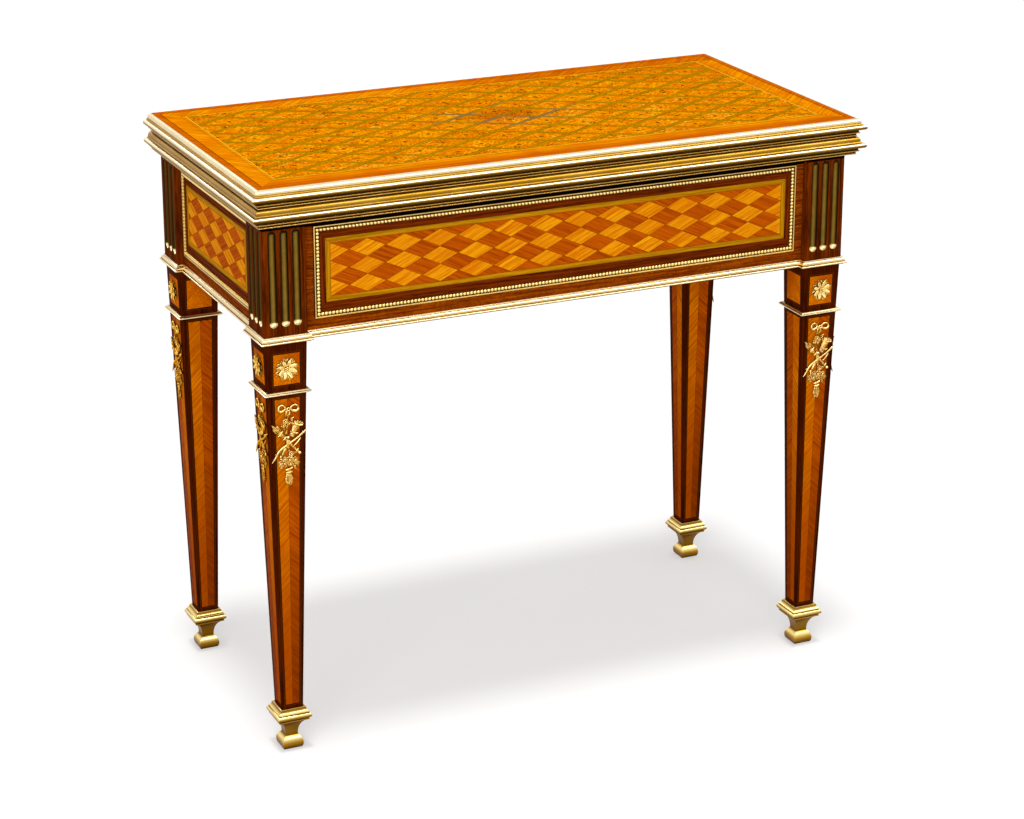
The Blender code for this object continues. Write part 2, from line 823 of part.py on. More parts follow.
def hinge_plate_mesh(side):
    """A plate with its own barrel sections: the middle one below the folding line, the outer ones above."""
    ends = [share * hinge_length for share in knuckle_ends_shares]
    half_gap = hinge_knuckle_gap / 2
    if side < 0:
        spans = [(ends[1] + half_gap, ends[2] - half_gap)]
    else:
        spans = [(ends[0], ends[1] - half_gap), (ends[2] + half_gap, ends[3])]
    plate_edge = -(hinge_barrel_radius + 2 * hinge_knuckle_gap)
    low, high = sorted((side * gap / 2, side * (gap / 2 + hinge_plate_thickness)))
    plate = box((ends[0], -hinge_plate_depth, low), (ends[3], plate_edge, high))
    additions = []
    for start, end in spans:
        additions.append(barrel(hinge_barrel_radius, start, end))
        additions.append(box((start, plate_edge - cut_overrun, low), (end, 0, high)))
    joined = combined(plate, "UNION", additions, "hinge_solid")
    bore = barrel(hinge_pin_radius + gap, ends[0] - cut_overrun, ends[3] + cut_overrun)
    return combined(bmesh_of(joined), "DIFFERENCE", [bore], "hinge_plate")


hinge_centre_x = board_half_width - hinge_inset - hinge_length / 2


def hinge_cutters(side, centre_x):
    """The seat for a plate and the groove for the barrels, about the folding line."""
    half = hinge_length / 2 + gap
    seat_depth = gap / 2 + hinge_plate_thickness + gap
    low, high = sorted((side * seat_depth, -side * cut_overrun))
    seat = box((centre_x - half, -hinge_plate_depth - gap, low), (centre_x + half, cut_overrun, high))
    groove = barrel(hinge_barrel_radius + hinge_knuckle_gap, -half, half)
    bmesh.ops.translate(groove, verts=groove.verts, vec=(centre_x, 0, 0))
    return [seat, groove]


def stop_groove_cutter():
    """A quarter-round groove about the pivot for the stop peg, open at the leaf's underside."""
    half = stop_peg_radius + 2 * gap
    start = -90 - math.degrees(swivel_range)
    end = -90
    outer = arc((0, 0), (stop_radius + half, stop_radius + half), start, end, round_steps // 2)
    inner = arc((0, 0), (stop_radius - half, stop_radius - half), end, start, round_steps // 2)
    last = (0, -stop_radius)
    first = (-stop_radius, 0)
    far_end = arc(last, (half, half), -90, 90, peg_steps // 2)[1:-1]
    near_end = arc(first, (half, half), 0, 180, peg_steps // 2)[1:-1]
    return extruded(outer + far_end + inner + near_end, -cut_overrun, stop_peg_rise + gap)


def leaf_board_mesh(side):
    """A board about the folding line: side is -1 for the lower leaf and 1 for the upper."""
    near = side * gap / 2
    veneer = top_parquetry_thickness + gap if side > 0 else 0
    far = side * (gap / 2 + leaf_thickness - veneer)
    levels = sorted((near, far))
    body = box((-board_half_width, board_front, levels[0]), (board_half_width, leaf_back, levels[1]))
    well = sorted((near + side * (baize_thickness + gap), near - side * cut_overrun))
    cutters = [
        box(
            (-board_half_width + baize_side_border, board_front + baize_front_border, well[0]),
            (board_half_width - baize_side_border, leaf_back - baize_back_border, well[1]),
        )
    ]
    for end in (-1, 1):
        cutters += hinge_cutters(side, end * hinge_centre_x)
    if side < 0:
        seat_depth = pivot_plate_thickness + 2 * gap
        plate_seat = cylinder(pivot_plate_radius + gap, -cut_overrun, seat_depth, round_steps)
        underside = [plate_seat, stop_groove_cutter()]
        to_leaf = (pivot_x, pivot_y - fold_y, frame_top - fold_level)
        for cutter in underside:
            bmesh.ops.translate(cutter, verts=cutter.verts, vec=to_leaf)
        cutters += underside
    return combined(body, "DIFFERENCE", cutters, "leaf_board")


def baize_mesh(side):
    near = side * gap / 2
    levels = sorted((near, near + side * baize_thickness))
    return box(
        (-board_half_width + baize_side_border + gap, board_front + baize_front_border + gap, levels[0]),
        (board_half_width - baize_side_border - gap, leaf_back - baize_back_border - gap, levels[1]),
    )


def leaf_moulding_mesh(side):
    """The gilt edge: an ovolo lip, a fillet, a bold torus and two small beads under it."""
    bottom = gap / 2 if side > 0 else -gap / 2 - leaf_thickness
    bead = leaf_thickness * 0.038
    torus = leaf_thickness * 0.177
    lower_bead = arc((moulding_depth * 0.217, leaf_thickness * 0.065), (bead, bead), -90, 90, 3)
    upper_bead = arc((moulding_depth * 0.433, leaf_thickness * 0.217), (bead, bead), -90, 90, 3)
    round_edge = arc((moulding_depth - torus, leaf_thickness * 0.455), (torus, torus), -90, 90, 8)
    lip = arc(
        (moulding_depth * 0.22, leaf_thickness * 0.76),
        (moulding_depth * 0.31, leaf_thickness * 0.24),
        0,
        90,
        4,
    )
    section = [
        (0, 0),
        (moulding_depth * 0.16, 0),
        *lower_bead,
        *upper_bead,
        *round_edge,
        (moulding_depth * 0.55, leaf_thickness * 0.64),
        (moulding_depth * 0.55, leaf_thickness * 0.745),
        *lip,
        (0, leaf_thickness),
    ]
    profile = [(outward, bottom + upward) for outward, upward in section]
    edge_x = top_width / 2 - moulding_depth
    edge_y = leaf_back - (top_depth - moulding_depth)
    path = [(-edge_x, leaf_back), (-edge_x, edge_y), (edge_x, edge_y), (edge_x, leaf_back)]
    return sweep(profile, path, False)


def top_parquetry_mesh():
    high = gap / 2 + leaf_thickness
    low = high - top_parquetry_thickness
    return box((-board_half_width, board_front, low), (board_half_width, leaf_back, high))


lower_origin = leaf_hinge_axis.location
for leaf, side, parent, origin in (
    ("lower", -1, swivel_axis, lower_origin),
    ("upper", 1, leaf_hinge_axis, (0, 0, 0)),
):
    place(f"{leaf}_leaf_board", leaf_board_mesh(side), mahogany, origin, parent=parent, roughness=0.3)
    gilt(f"{leaf}_leaf_moulding", mesh_from(leaf_moulding_mesh(side), "leaf_moulding"), origin, parent=parent)
    baize = mesh_from(baize_mesh(side), "baize")
    place(f"{leaf}_leaf_baize", baize, green_baize, origin, parent=parent, roughness=0.95)
    for end, name in ((-1, "left"), (1, "right")):
        spot = Vector(origin) + Vector((end * hinge_centre_x, 0, 0))
        plate = hinge_plate_mesh(side)
        place(f"{leaf}_hinge_{name}", plate, old_brass, spot, parent=parent, roughness=0.35, metallic=1)
        if side < 0:
            pin = shade_round(mesh_from(barrel(hinge_pin_radius, -hinge_length / 2, hinge_length / 2), "pin"))
            place(f"hinge_pin_{name}", pin, steel, spot, parent=parent, roughness=0.35, metallic=1)

veneer_sheet = mesh_from(top_parquetry_mesh(), "top_parquetry")
place("top_parquetry", veneer_sheet, satinwood, parent=leaf_hinge_axis, roughness=0.25)
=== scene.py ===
"""Looks of a fold-over games table in the Louis XVI manner: veneers, parquetry, gilt bronze and baize."""

import math

import bmesh
import bpy
from mathutils import Matrix, Vector


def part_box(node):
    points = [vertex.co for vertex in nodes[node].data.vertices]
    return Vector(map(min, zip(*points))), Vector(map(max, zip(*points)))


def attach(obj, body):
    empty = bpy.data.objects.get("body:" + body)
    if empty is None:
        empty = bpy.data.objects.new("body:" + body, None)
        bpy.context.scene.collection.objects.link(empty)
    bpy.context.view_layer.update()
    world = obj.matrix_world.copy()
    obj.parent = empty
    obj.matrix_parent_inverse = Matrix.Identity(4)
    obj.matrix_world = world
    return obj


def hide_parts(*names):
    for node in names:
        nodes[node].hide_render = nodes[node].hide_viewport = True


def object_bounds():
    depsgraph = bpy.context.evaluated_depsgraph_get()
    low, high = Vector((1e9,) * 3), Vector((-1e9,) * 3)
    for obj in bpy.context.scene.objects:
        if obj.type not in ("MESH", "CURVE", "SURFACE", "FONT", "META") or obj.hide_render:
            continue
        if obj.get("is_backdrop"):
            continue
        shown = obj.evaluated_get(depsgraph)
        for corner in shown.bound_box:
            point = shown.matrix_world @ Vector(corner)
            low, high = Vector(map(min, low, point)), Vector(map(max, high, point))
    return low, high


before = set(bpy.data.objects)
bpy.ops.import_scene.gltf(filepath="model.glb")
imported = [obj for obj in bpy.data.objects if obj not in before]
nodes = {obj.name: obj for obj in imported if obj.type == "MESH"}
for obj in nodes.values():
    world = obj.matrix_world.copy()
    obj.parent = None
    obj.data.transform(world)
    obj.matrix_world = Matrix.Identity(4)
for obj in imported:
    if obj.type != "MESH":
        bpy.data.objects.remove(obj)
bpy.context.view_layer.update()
mm = 0.001

# Legs. Each is one mahogany post from the frame's top to its foot, fluted on both outer faces of the block
# at its head. Below the block it tapers and is veneered: a square panel behind each rosette and a long
# chevron panel under the collar, both framed in dark wood with a fine line between.
corner_names = ("front_left", "front_right", "back_right", "back_left")
face_names = ("front", "right", "back", "left")
facings = {"front": (0, -1), "right": (1, 0), "back": (0, 1), "left": (-1, 0)}
leg_shoulder = 574 * mm
leg_foot_level = 60.5 * mm
leg_half_at_shoulder = 27.9 * mm
leg_half_at_foot = 14.65 * mm
leg_slope = (leg_half_at_shoulder - leg_half_at_foot) / (leg_shoulder - leg_foot_level)
leg_edge_round = 0.5 * mm
flute_width = 10.8 * mm
flute_depth = 4.0 * mm
flute_pitch = 16.0 * mm
flute_low = 595.0 * mm
flute_high = 721.0 * mm
flute_radius = (flute_width**2 / 4 + flute_depth**2) / (2 * flute_depth)
flute_end_steps = 8
chevron_low = 66 * mm
chevron_high = 498.5 * mm
chevron_border_share = 0.335
square_low = 517 * mm
square_high = 559 * mm
square_half = 18 * mm
fine_line_offset = 1.3 * mm
fine_line_edge = (0.7 * mm, 0.4 * mm)
dark_line_edge = (0.6 * mm, 0.35 * mm)
middle_seam = (0.4 * mm, 0.15 * mm)
leg_shadow_depth = 8.2 * mm
wood_gloss = 0.001
grain_depth = 0.04 * mm
crisp = 0.1 * mm
diagonal_share = 0.7071
frieze_top = 729.6 * mm
shadow_step = 1.6 * mm
shadow_colour = (10, 3, 0)
merge_gap = 0.01 * mm


class Signal:
    """What a shader node puts out. Arithmetic on it places the maths nodes."""

    def __init__(self, socket):
        self.socket = socket

    def __add__(self, other):
        return calc("ADD", self, other)

    def __sub__(self, other):
        return calc("SUBTRACT", self, other)

    def __rsub__(self, other):
        return calc("SUBTRACT", other, self)

    def __mul__(self, other):
        return calc("MULTIPLY", self, other)

    def __truediv__(self, other):
        return calc("DIVIDE", self, other)

    def __pow__(self, other):
        return calc("POWER", self, other)

    def __abs__(self):
        return calc("ABSOLUTE", self)


def srgb(red, green, blue):
    """A colour as a paint chart gives it, 0 to 255, in the shader's own scale."""
    def linear(value):
        value /= 255
        return value / 12.92 if value <= 0.04045 else ((value + 0.055) / 1.055) ** 2.4
    return (linear(red), linear(green), linear(blue), 1)


def feed(socket, value):
    """Links a signal to a socket or sets its value; three numbers are a colour from the paint chart."""
    if isinstance(value, Signal):
        socket.id_data.links.new(value.socket, socket)
    elif isinstance(value, tuple) and len(value) == 3:
        socket.default_value = srgb(*value)
    else:
        socket.default_value = value


def placed(tree, kind, settings, **modes):
    """A new node with its modes set and its inputs fed; settings names or numbers the inputs."""
    node = tree.nodes.new(kind)
    for name, mode in modes.items():
        setattr(node, name, mode)
    for place, value in settings.items():
        feed(node.inputs[place], value)
    return node


def tree_of(*values):
    """The tree that the first signal among the values comes from."""
    return next(value.socket.id_data for value in values if isinstance(value, Signal))


def calc(operation, *values):
    node = placed(tree_of(*values), "ShaderNodeMath", dict(enumerate(values)), operation=operation)
    return Signal(node.outputs[0])


def clamped(value):
    return calc("MINIMUM", calc("MAXIMUM", value, 0), 1)


def either(mask, first, second):
    """The first number where the mask is 0, the second where it is 1."""
    return mask * (second - first) + first


def ramped(value, zero_at, one_at):
    """0 on one side of a soft step and 1 on the other; the step may rise or fall."""
    settings = {"Value": value, "From Min": zero_at, "From Max": one_at}
    node = placed(tree_of(value), "ShaderNodeMapRange", settings, interpolation_type="SMOOTHSTEP")
    return Signal(node.outputs["Result"])


def blended(mask, first, second):
    """The first colour where the mask is 0, the second where it is 1."""
    node = placed(tree_of(mask), "ShaderNodeMix", {}, data_type="RGBA")
    for place, value in ((0, mask), (6, first), (7, second)):
        feed(node.inputs[place], value)
    return Signal(node.outputs[2])


def stained(colour, *stains):
    """A colour with each stain, a mask and its colour, laid over it in turn."""
    for mask, stain in stains:
        colour = blended(mask, colour, stain)
    return colour


def noise(spot, scale, detail=2, roughness=0.5, distortion=0.0):
    settings = {
        "Vector": spot, "Scale": scale, "Detail": detail, "Roughness": roughness, "Distortion": distortion,
    }
    return Signal(placed(tree_of(spot), "ShaderNodeTexNoise", settings).outputs["Fac"])


def point(x, y=0.0, z=0.0):
    settings = dict(enumerate((x, y, z)))
    return Signal(placed(tree_of(x, y, z), "ShaderNodeCombineXYZ", settings).outputs[0])


def parts_of(spot):
    return [Signal(socket) for socket in placed(tree_of(spot), "ShaderNodeSeparateXYZ", {0: spot}).outputs]


def shader_group(name, takes, gives):
    """A node group: its tree, its inputs as signals and its outputs' sockets. Each name is a number's unless
    it ends in another kind."""
    tree = bpy.data.node_groups.new(name, "ShaderNodeTree")
    for way, items in (("INPUT", takes), ("OUTPUT", gives)):
        for item in items:
            label, _, kind = item.partition(":")
            tree.interface.new_socket(label, in_out=way, socket_type=f"NodeSocket{kind or 'Float'}")
    taken = {socket.name: Signal(socket) for socket in tree.nodes.new("NodeGroupInput").outputs}
    return tree, taken, tree.nodes.new("NodeGroupOutput").inputs


def give(gives, **values):
    """Feeds a group's outputs; a label's spaces are underscores here and in use_group."""
    for label, value in values.items():
        feed(gives[label.replace("_", " ")], value)


def use_group(group, **values):
    """Places a group in the tree that its values come from."""
    settings = {label.replace("_", " "): value for label, value in values.items()}
    node = placed(tree_of(*values.values()), "ShaderNodeGroup", settings, node_tree=group)
    return {socket.name: Signal(socket) for socket in node.outputs}


def grain_group():
    """Straight wood figure: long streaks, finer fibres and dark pore dashes. Lengths are in metres."""
    tree, takes, gives = shader_group("veneer_grain", ["Along", "Across", "Sheet"], ["Figure", "Pores"])
    along, across, sheet = takes["Along"], takes["Across"], takes["Sheet"]
    across = noise(point(along, across, sheet), 25) * 0.004 + across
    layers = [
        noise(point(along * along_rate, across * across_rate, sheet), 1, detail, 0.6)
        for along_rate, across_rate, detail in ((9, 330, 3), (60, 1500, 2), (150, 2600, 1))
    ]
    streaks = layers[1] * 0.35 + layers[0] * 0.65
    give(gives, Figure=ramped(streaks, 0.36, 0.64), Pores=ramped(layers[2], 0.60, 0.70))
    return tree


veneer_grain = grain_group()


def shader_inputs(material):
    return material.node_tree.nodes["Principled BSDF"].inputs


def new_material(name, roughness, metallic=0, specular=0.5):
    material = bpy.data.materials.new(name)
    material.use_nodes = True
    for label, value in (("Roughness", roughness), ("Metallic", metallic), ("Specular IOR Level", specular)):
        shader_inputs(material)[label].default_value = value
    return material


def coordinates(material, output="Object"):
    return Signal(material.node_tree.nodes.new("ShaderNodeTexCoord").outputs[output])


def attribute(material, name):
    node = placed(material.node_tree, "ShaderNodeAttribute", {}, attribute_name=name)
    return Signal(node.outputs["Fac"])


def clad(material, colour, height, depth, roughness=None):
    """Feeds a material's shader its colour, its bump and, where it varies, its roughness."""
    inputs = shader_inputs(material)
    feed(inputs["Base Color"], colour)
    if roughness:
        feed(inputs["Roughness"], roughness)
    bump = placed(material.node_tree, "ShaderNodeBump", {"Distance": depth, "Height": height})
    feed(inputs["Normal"], Signal(bump.outputs["Normal"]))
    return material


def mesh_of(name, bm):
    """A mesh from a bmesh, which is used up."""
    mesh = bpy.data.meshes.new(name)
    bm.to_mesh(mesh)
    bm.free()
    return mesh


def in_scene(name, data):
    """A new object for a mesh, curve, lamp or camera."""
    thing = bpy.data.objects.new(name, data)
    bpy.context.scene.collection.objects.link(thing)
    return thing


def finished(name, bm, material, body, replaced=(), sharp_angle=32, recalculate=True):
    """A finished piece from a bmesh: shaded, given its material, and riding on its body."""
    if recalculate:
        bmesh.ops.recalc_face_normals(bm, faces=bm.faces)
    mesh = mesh_of(name, bm)
    mesh.shade_smooth()
    mesh.set_sharp_from_angle(angle=math.radians(sharp_angle))
    mesh.materials.append(material)
    piece = in_scene(name, mesh)
    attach(piece, body)
    if replaced:
        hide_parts(*replaced)
    return piece


def shadow_under_leaves(level, depth):
    """A mask for the painted shadow in the angle under the leaves."""
    return ramped(level, frieze_top - depth, frieze_top - depth + shadow_step)


def leg_half_at(level):
    return leg_half_at_foot + leg_slope * (level - leg_foot_level)


def leg_veneer():
    """Reads the leg's UV map: metres across the face from its middle, and metres up from the floor."""
    material = new_material("leg_veneer", 0.34, specular=wood_gloss)
    across, level, _ = parts_of(coordinates(material, "UV"))
    off_middle = abs(across)
    half = (level - leg_foot_level) * leg_slope + leg_half_at_foot
    chevron_ends = calc("MINIMUM", chevron_high - level, level - chevron_low)
    square_ends = calc("MINIMUM", square_high - level, level - square_low)
    chevron = calc("MINIMUM", half * (1 - chevron_border_share) - off_middle, chevron_ends)
    square = calc("MINIMUM", square_half - off_middle, square_ends)
    inside = calc("MAXIMUM", chevron, square)
    right_half = ramped(across, -crisp, crisp)
    below_shoulder = ramped(leg_shoulder - level, 0, 1 * mm)
    # Chevron: the grain falls away from the middle line on both sides
    seed = right_half * 7.3
    figured = use_group(
        veneer_grain, Along=(level - off_middle) * diagonal_share,
        Across=(level + off_middle) * diagonal_share, Sheet=seed,
    )
    # Painted shade: the tulipwood darkens towards the foot, where less light reaches it.
    shade_toward_foot = ramped(level, 0.42, 0.1)
    light = stained(blended(figured["Figure"], (184, 80, 0), (236, 132, 0)), (shade_toward_foot * 0.8, (158, 58, 0)))
    dark = stained(blended(figured["Figure"], (148, 54, 0), (208, 94, 0)), (shade_toward_foot * 0.7, (108, 36, 0)))
    cloud = ramped(noise(point(across, level, seed), 14), 0.3, 0.7)
    seam = ramped(off_middle, *middle_seam)
    tulipwood = stained(
        blended(right_half, light, dark), (cloud * 0.35, (150, 60, 3)),
        (figured["Pores"] * 0.35, (90, 32, 2)), (seam * 0.6, (90, 34, 3)),
    )
    # Square panel
    slant = across + (level - square_low)
    flecks = ramped(noise(point(across, level, seed), 420), 0.5, 0.62)
    block_panel = stained(
        blended(figured["Figure"], (186, 80, 0), (230, 124, 0)), (cloud * 0.3, (240, 138, 2)),
        (ramped(slant, 4 * mm, 52 * mm) * 0.6, (176, 70, 0)), (flecks * 0.5, (150, 54, 0)),
    )
    tulipwood = blended(calc("GREATER_THAN", level, chevron_high), tulipwood, block_panel)
    # Dark borders, and the block above the shoulder
    straight = use_group(veneer_grain, Along=level, Across=across, Sheet=2.0)
    border = blended(straight["Figure"], (38, 7, 0), (88, 28, 1))
    border = stained(border, (straight["Pores"] * 0.6, (34, 8, 0)))
    block_wood = blended(straight["Figure"], (56, 15, 0), (126, 50, 4))
    fine_line = ramped(abs(inside + fine_line_offset), *fine_line_edge)
    dark_line = ramped(abs(inside), *dark_line_edge)
    # The block's top is darkened by a painted shadow under the leaves.
    whole = stained(
        block_wood, (below_shoulder, border), (fine_line * below_shoulder, (80, 38, 2)),
        (ramped(inside, -crisp, crisp), tulipwood), (dark_line * below_shoulder, (40, 12, 0)),
        (shadow_under_leaves(level, leg_shadow_depth), shadow_colour),
    )
    return clad(material, whole, straight["Figure"] - figured["Pores"], grain_depth)


def shaped_by(main, operation, tools):
    """One bmesh cut by, or joined with, others; the tools are used up."""
    made = []
    for number, bm in enumerate([main, *tools]):
        bmesh.ops.recalc_face_normals(bm, faces=bm.faces)
        made.append(in_scene(f"tool_{number}", mesh_of(f"tool_{number}", bm)))
    for tool in made[1:]:
        cut = made[0].modifiers.new(tool.name, "BOOLEAN")
        cut.operation = operation
        cut.solver = "EXACT"
        cut.object = tool
    bpy.context.view_layer.update()
    result = made[0].evaluated_get(bpy.context.evaluated_depsgraph_get()).to_mesh()
    bm = bmesh.new()
    bm.from_mesh(result)
    for thing in made:
        mesh = thing.data
        bpy.data.objects.remove(thing)
        bpy.data.meshes.remove(mesh)
    return bm


def rounded(bm, edges, size, segments):
    """Rounds the edges of a bmesh over."""
    bmesh.ops.bevel(bm, geom=edges, offset=size, affect="EDGES", segments=segments, profile=0.5, material=-1)


def flute_form(radius, steps):
    """A round rod with domed ends standing on Z, the shape that a flute is cut with."""
    half_mouth = flute_width / 2
    turns = [(step - flute_end_steps, flute_low + half_mouth) for step in range(flute_end_steps + 1)]
    turns += [(step, flute_high - half_mouth) for step in range(flute_end_steps + 1)]
    bm = bmesh.new()
    verts = []
    for step, level in turns:
        angle = math.pi / 2 * step / flute_end_steps
        verts.append(bm.verts.new((radius * math.cos(angle), 0, level + radius * math.sin(angle))))
    edges = [bm.edges.new(pair) for pair in zip(verts, verts[1:])]
    bmesh.ops.spin(bm, geom=verts + edges, axis=(0, 0, 1), angle=math.tau, steps=steps, use_merge=True)
    bmesh.ops.remove_doubles(bm, verts=bm.verts, dist=merge_gap)
    return bm


def flute_places(corner):
    """For each flute of a leg: where its rod stands and the way its face looks."""
    low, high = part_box(f"leg_{corner}")
    axis = (low + high) / 2
    block_half = (high.x - low.x) / 2
    for face in (corner_names.index(corner), corner_names.index(corner) - 1):
        facing = Vector((*facings[face_names[face]], 0))
        along = Vector((-facing.y, facing.x, 0))
        for number in (-1, 0, 1):
            spot = axis + facing * (block_half + flute_radius - flute_depth) + along * (number * flute_pitch)
            yield Vector((spot.x, spot.y, 0)), facing


def leg_form(corner):
    low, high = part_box(f"leg_{corner}")
    axis = (low + high) / 2
    block_half = (high.x - low.x) / 2
    half = leg_half_at(low.z)
    centre = Matrix.Translation((-axis.x, -axis.y, 0))
    bm = bmesh.new()
    bmesh.ops.create_grid(bm, x_segments=1, y_segments=1, size=half)
    bmesh.ops.translate(bm, verts=bm.verts, vec=(axis.x, axis.y, low.z))
    bm.faces.ensure_lookup_table()
    face = bm.faces[0]
    stages = ((leg_half_at_shoulder, leg_shoulder), (block_half, leg_shoulder), (block_half, high.z))
    for new_half, level in stages:
        made = bmesh.ops.extrude_face_region(bm, geom=[face])
        face = next(item for item in made["geom"] if isinstance(item, bmesh.types.BMFace))
        rise = level - face.verts[0].co.z
        bmesh.ops.translate(bm, verts=face.verts, vec=(0, 0, rise))
        bmesh.ops.scale(bm, verts=face.verts, vec=(new_half / half, new_half / half, 1), space=centre)
        half = new_half
    upright = [edge for edge in bm.edges if abs(edge.verts[0].co.z - edge.verts[1].co.z) > 10 * mm]
    rounded(bm, upright, leg_edge_round, 2)
    rods = []
    for spot, _ in flute_places(corner):
        rods.append(flute_form(flute_radius, 40))
        bmesh.ops.translate(rods[-1], verts=rods[-1].verts, vec=spot)
    bm = shaped_by(bm, "DIFFERENCE", rods)
    layer = bm.loops.layers.uv.new("veneer")
    for face in bm.faces:
        across, outward = (0, 1) if abs(face.normal.y) >= abs(face.normal.x) else (1, 0)
        sign = 1 if face.normal[outward] < 0 else -1
        for loop in face.loops:
            loop[layer].uv = (sign * (loop.vert.co - axis)[across], loop.vert.co.z)
    return bm


leg_material = leg_veneer()
for corner in corner_names:
    form = leg_form(corner)
    finished(f"veneered_leg_{corner}", form, leg_material, "base", [f"leg_{corner}"], 30)

# Flute liners. Thin brass channels pressed into the flutes and darkened with age. Painted shade darkens their
# sides and upper ends, and a painted highlight brightens their cupped lower ends.
liner_clearance = 0.1 * mm
liner_thickness = 0.5 * mm
liner_highlight_end = (7 * mm, 4.6 * mm)
liner_shade_end = (7 * mm, 3 * mm)


def liner_metal():
    """The side attribute is 0 in the middle of a flute and 1 at its edges."""
    material = new_material("liner_brass", 0.42, metallic=1)
    spot = coordinates(material)
    level = parts_of(spot)[2]
    tarnish = noise(spot, 90, 3)
    # Painted shade at the sides and the upper end, painted highlight on the cupped lower end.
    shaded_top_end = ramped(level, *(flute_high - below for below in liner_shade_end))
    hollow = calc("MAXIMUM", ramped(attribute(material, "side"), 0.2, 1.0), shaded_top_end)
    bright = ramped(level, *(flute_low + above for above in liner_highlight_end))
    brass = stained(
        blended(tarnish, (98, 74, 20), (136, 106, 42)), (hollow, (34, 22, 2)), (bright, (232, 212, 158)),
    )
    return clad(material, brass, tarnish, 0.1 * mm, tarnish * 0.2 + 0.34)


def gather(whole, bm):
    """Adds a bmesh, which is used up, to the whole."""
    mesh = mesh_of("part", bm)
    whole.from_mesh(mesh)
    bpy.data.meshes.remove(mesh)


def liners_form(corner):
    whole = bmesh.new()
    for spot, facing in flute_places(corner):
        bm = flute_form(flute_radius - liner_clearance, 32)
        bmesh.ops.translate(bm, verts=bm.verts, vec=spot)
        mouth = spot - facing * (flute_radius - flute_depth + liner_clearance)
        geometry = [*bm.verts, *bm.edges, *bm.faces]
        bmesh.ops.bisect_plane(bm, geom=geometry, plane_co=mouth, plane_no=facing, clear_outer=True)
        bmesh.ops.recalc_face_normals(bm, faces=bm.faces)
        side = bm.verts.layers.float.new("side")
        for vert in bm.verts:
            vert[side] = min(1, abs((vert.co - spot).cross(facing).z) / (flute_width / 2))
        bmesh.ops.solidify(bm, geom=bm.faces, thickness=liner_thickness)
        gather(whole, bm)
    return whole


liner_material = liner_metal()
for corner in corner_names:
    finished(f"flute_liners_{corner}", liners_form(corner), liner_material, "base")

# Frieze rails. Plain mahogany between the corner posts, its grain running along each rail. A painted shadow
# darkens their upper edge, under the leaves.
rail_shadow_depth = 12 * mm


def rail_mahogany(way, along_axis):
    material = new_material(f"rail_mahogany_{way}", 0.36, specular=wood_gloss)
    spot = parts_of(coordinates(material))
    across = spot[2] + spot[1 - along_axis]
    grain = use_group(veneer_grain, Along=spot[along_axis], Across=across, Sheet=along_axis + 1.0)
    mottle = ramped(noise(point(*spot), 260), 0.4, 0.7)
    wood = stained(
        blended(grain["Figure"], (90, 29, 0), (176, 80, 4)), (mottle * 0.45, (90, 29, 0)),
        (grain["Pores"] * 0.5, (44, 12, 0)), (shadow_under_leaves(spot[2], rail_shadow_depth), shadow_colour),
    )
    return clad(material, wood, grain["Figure"] - grain["Pores"], grain_depth)


def refinish(node, material):
    nodes[node].data.materials.clear()
    nodes[node].data.materials.append(material)


frieze_sides = (("long", 0, ("front", "back")), ("short", 1, ("left", "right")))
for way, axis, pair in frieze_sides:
    rail_wood = rail_mahogany(way, axis)
    for face in pair:
        refinish(f"frieze_rail_{face}", rail_wood)

# Frieze parquetry. Lozenges of light and dark satinwood with their grain along their edges, framed by an
# olive stringing band with mitred corners and a dark mahogany border.
lozenge_width = 50.1 * mm
lozenge_height = 23.55 * mm
frieze_string = 6.6 * mm
frieze_middle = 659.4 * mm
frieze_half_height = 1.5 * lozenge_height
frieze_half_widths = {"long": 6.5 * lozenge_width, "short": 111.5 * mm}
mitre_line = (0.5 * mm, 0.15 * mm)
lozenge_seam = (0.42 * mm, 0.12 * mm)
frieze_joint = (0.4 * mm, 0.15 * mm)


def lozenge_group():
    """Lozenges that touch at their tips. Dark is 1 in every second one; Edge and Centre are distances."""
    tree, takes, gives = shader_group(
        "lozenge_layout", ["U", "V", "Width", "Height"],
        ["Along", "Across", "Sheet", "Dark", "Edge", "Centre"],
    )
    width, height = takes["Width"], takes["Height"]
    wide, high = takes["U"] / width, takes["V"] / height
    sums = [wide + high, wide - high]
    cells = [calc("ROUND", value) for value in sums]
    offs = [value - cell for value, cell in zip(sums, cells)]
    diagonal = calc("SQRT", width**2 + height**2)
    depth = width * height / diagonal
    dark = calc("PINGPONG", cells[0] + cells[1], 1)
    centre_u = (offs[0] + offs[1]) * 0.5 * width
    centre_v = (offs[0] - offs[1]) * 0.5 * height
    give(
        gives, Along=either(dark, sums[0], sums[1]) * (diagonal * 0.5),
        Across=either(dark, sums[1], sums[0]) * depth, Sheet=cells[0] * 3.71 + cells[1] * 11.37, Dark=dark,
        Edge=(0.5 - calc("MAXIMUM", *(abs(off) for off in offs))) * depth,
        Centre=calc("SQRT", centre_u**2 + centre_v**2),
    )
    return tree


def framing_group():
    """Bands round a rectangle: how far outside it a point lies, which pair of sides is nearer, and the
    distance to the mitre line."""
    tree, takes, gives = shader_group(
        "framing", ["U", "V", "Half U", "Half V"], ["Outside", "At End", "Mitre"]
    )
    beyond = [abs(takes[axis]) - takes[f"Half {axis}"] for axis in "UV"]
    outside, at_end = calc("MAXIMUM", *beyond), calc("GREATER_THAN", *beyond)
    give(gives, Outside=outside, At_End=at_end, Mitre=abs(beyond[0] - beyond[1]))
    return tree


lozenge_layout = lozenge_group()
framing = framing_group()


def sheet_tone(sheet):
    """How much darker than the next one a lozenge is, 0 to 1, by chance."""
    return ramped(noise(point(sheet), 5.7, 0), 0.3, 0.7)


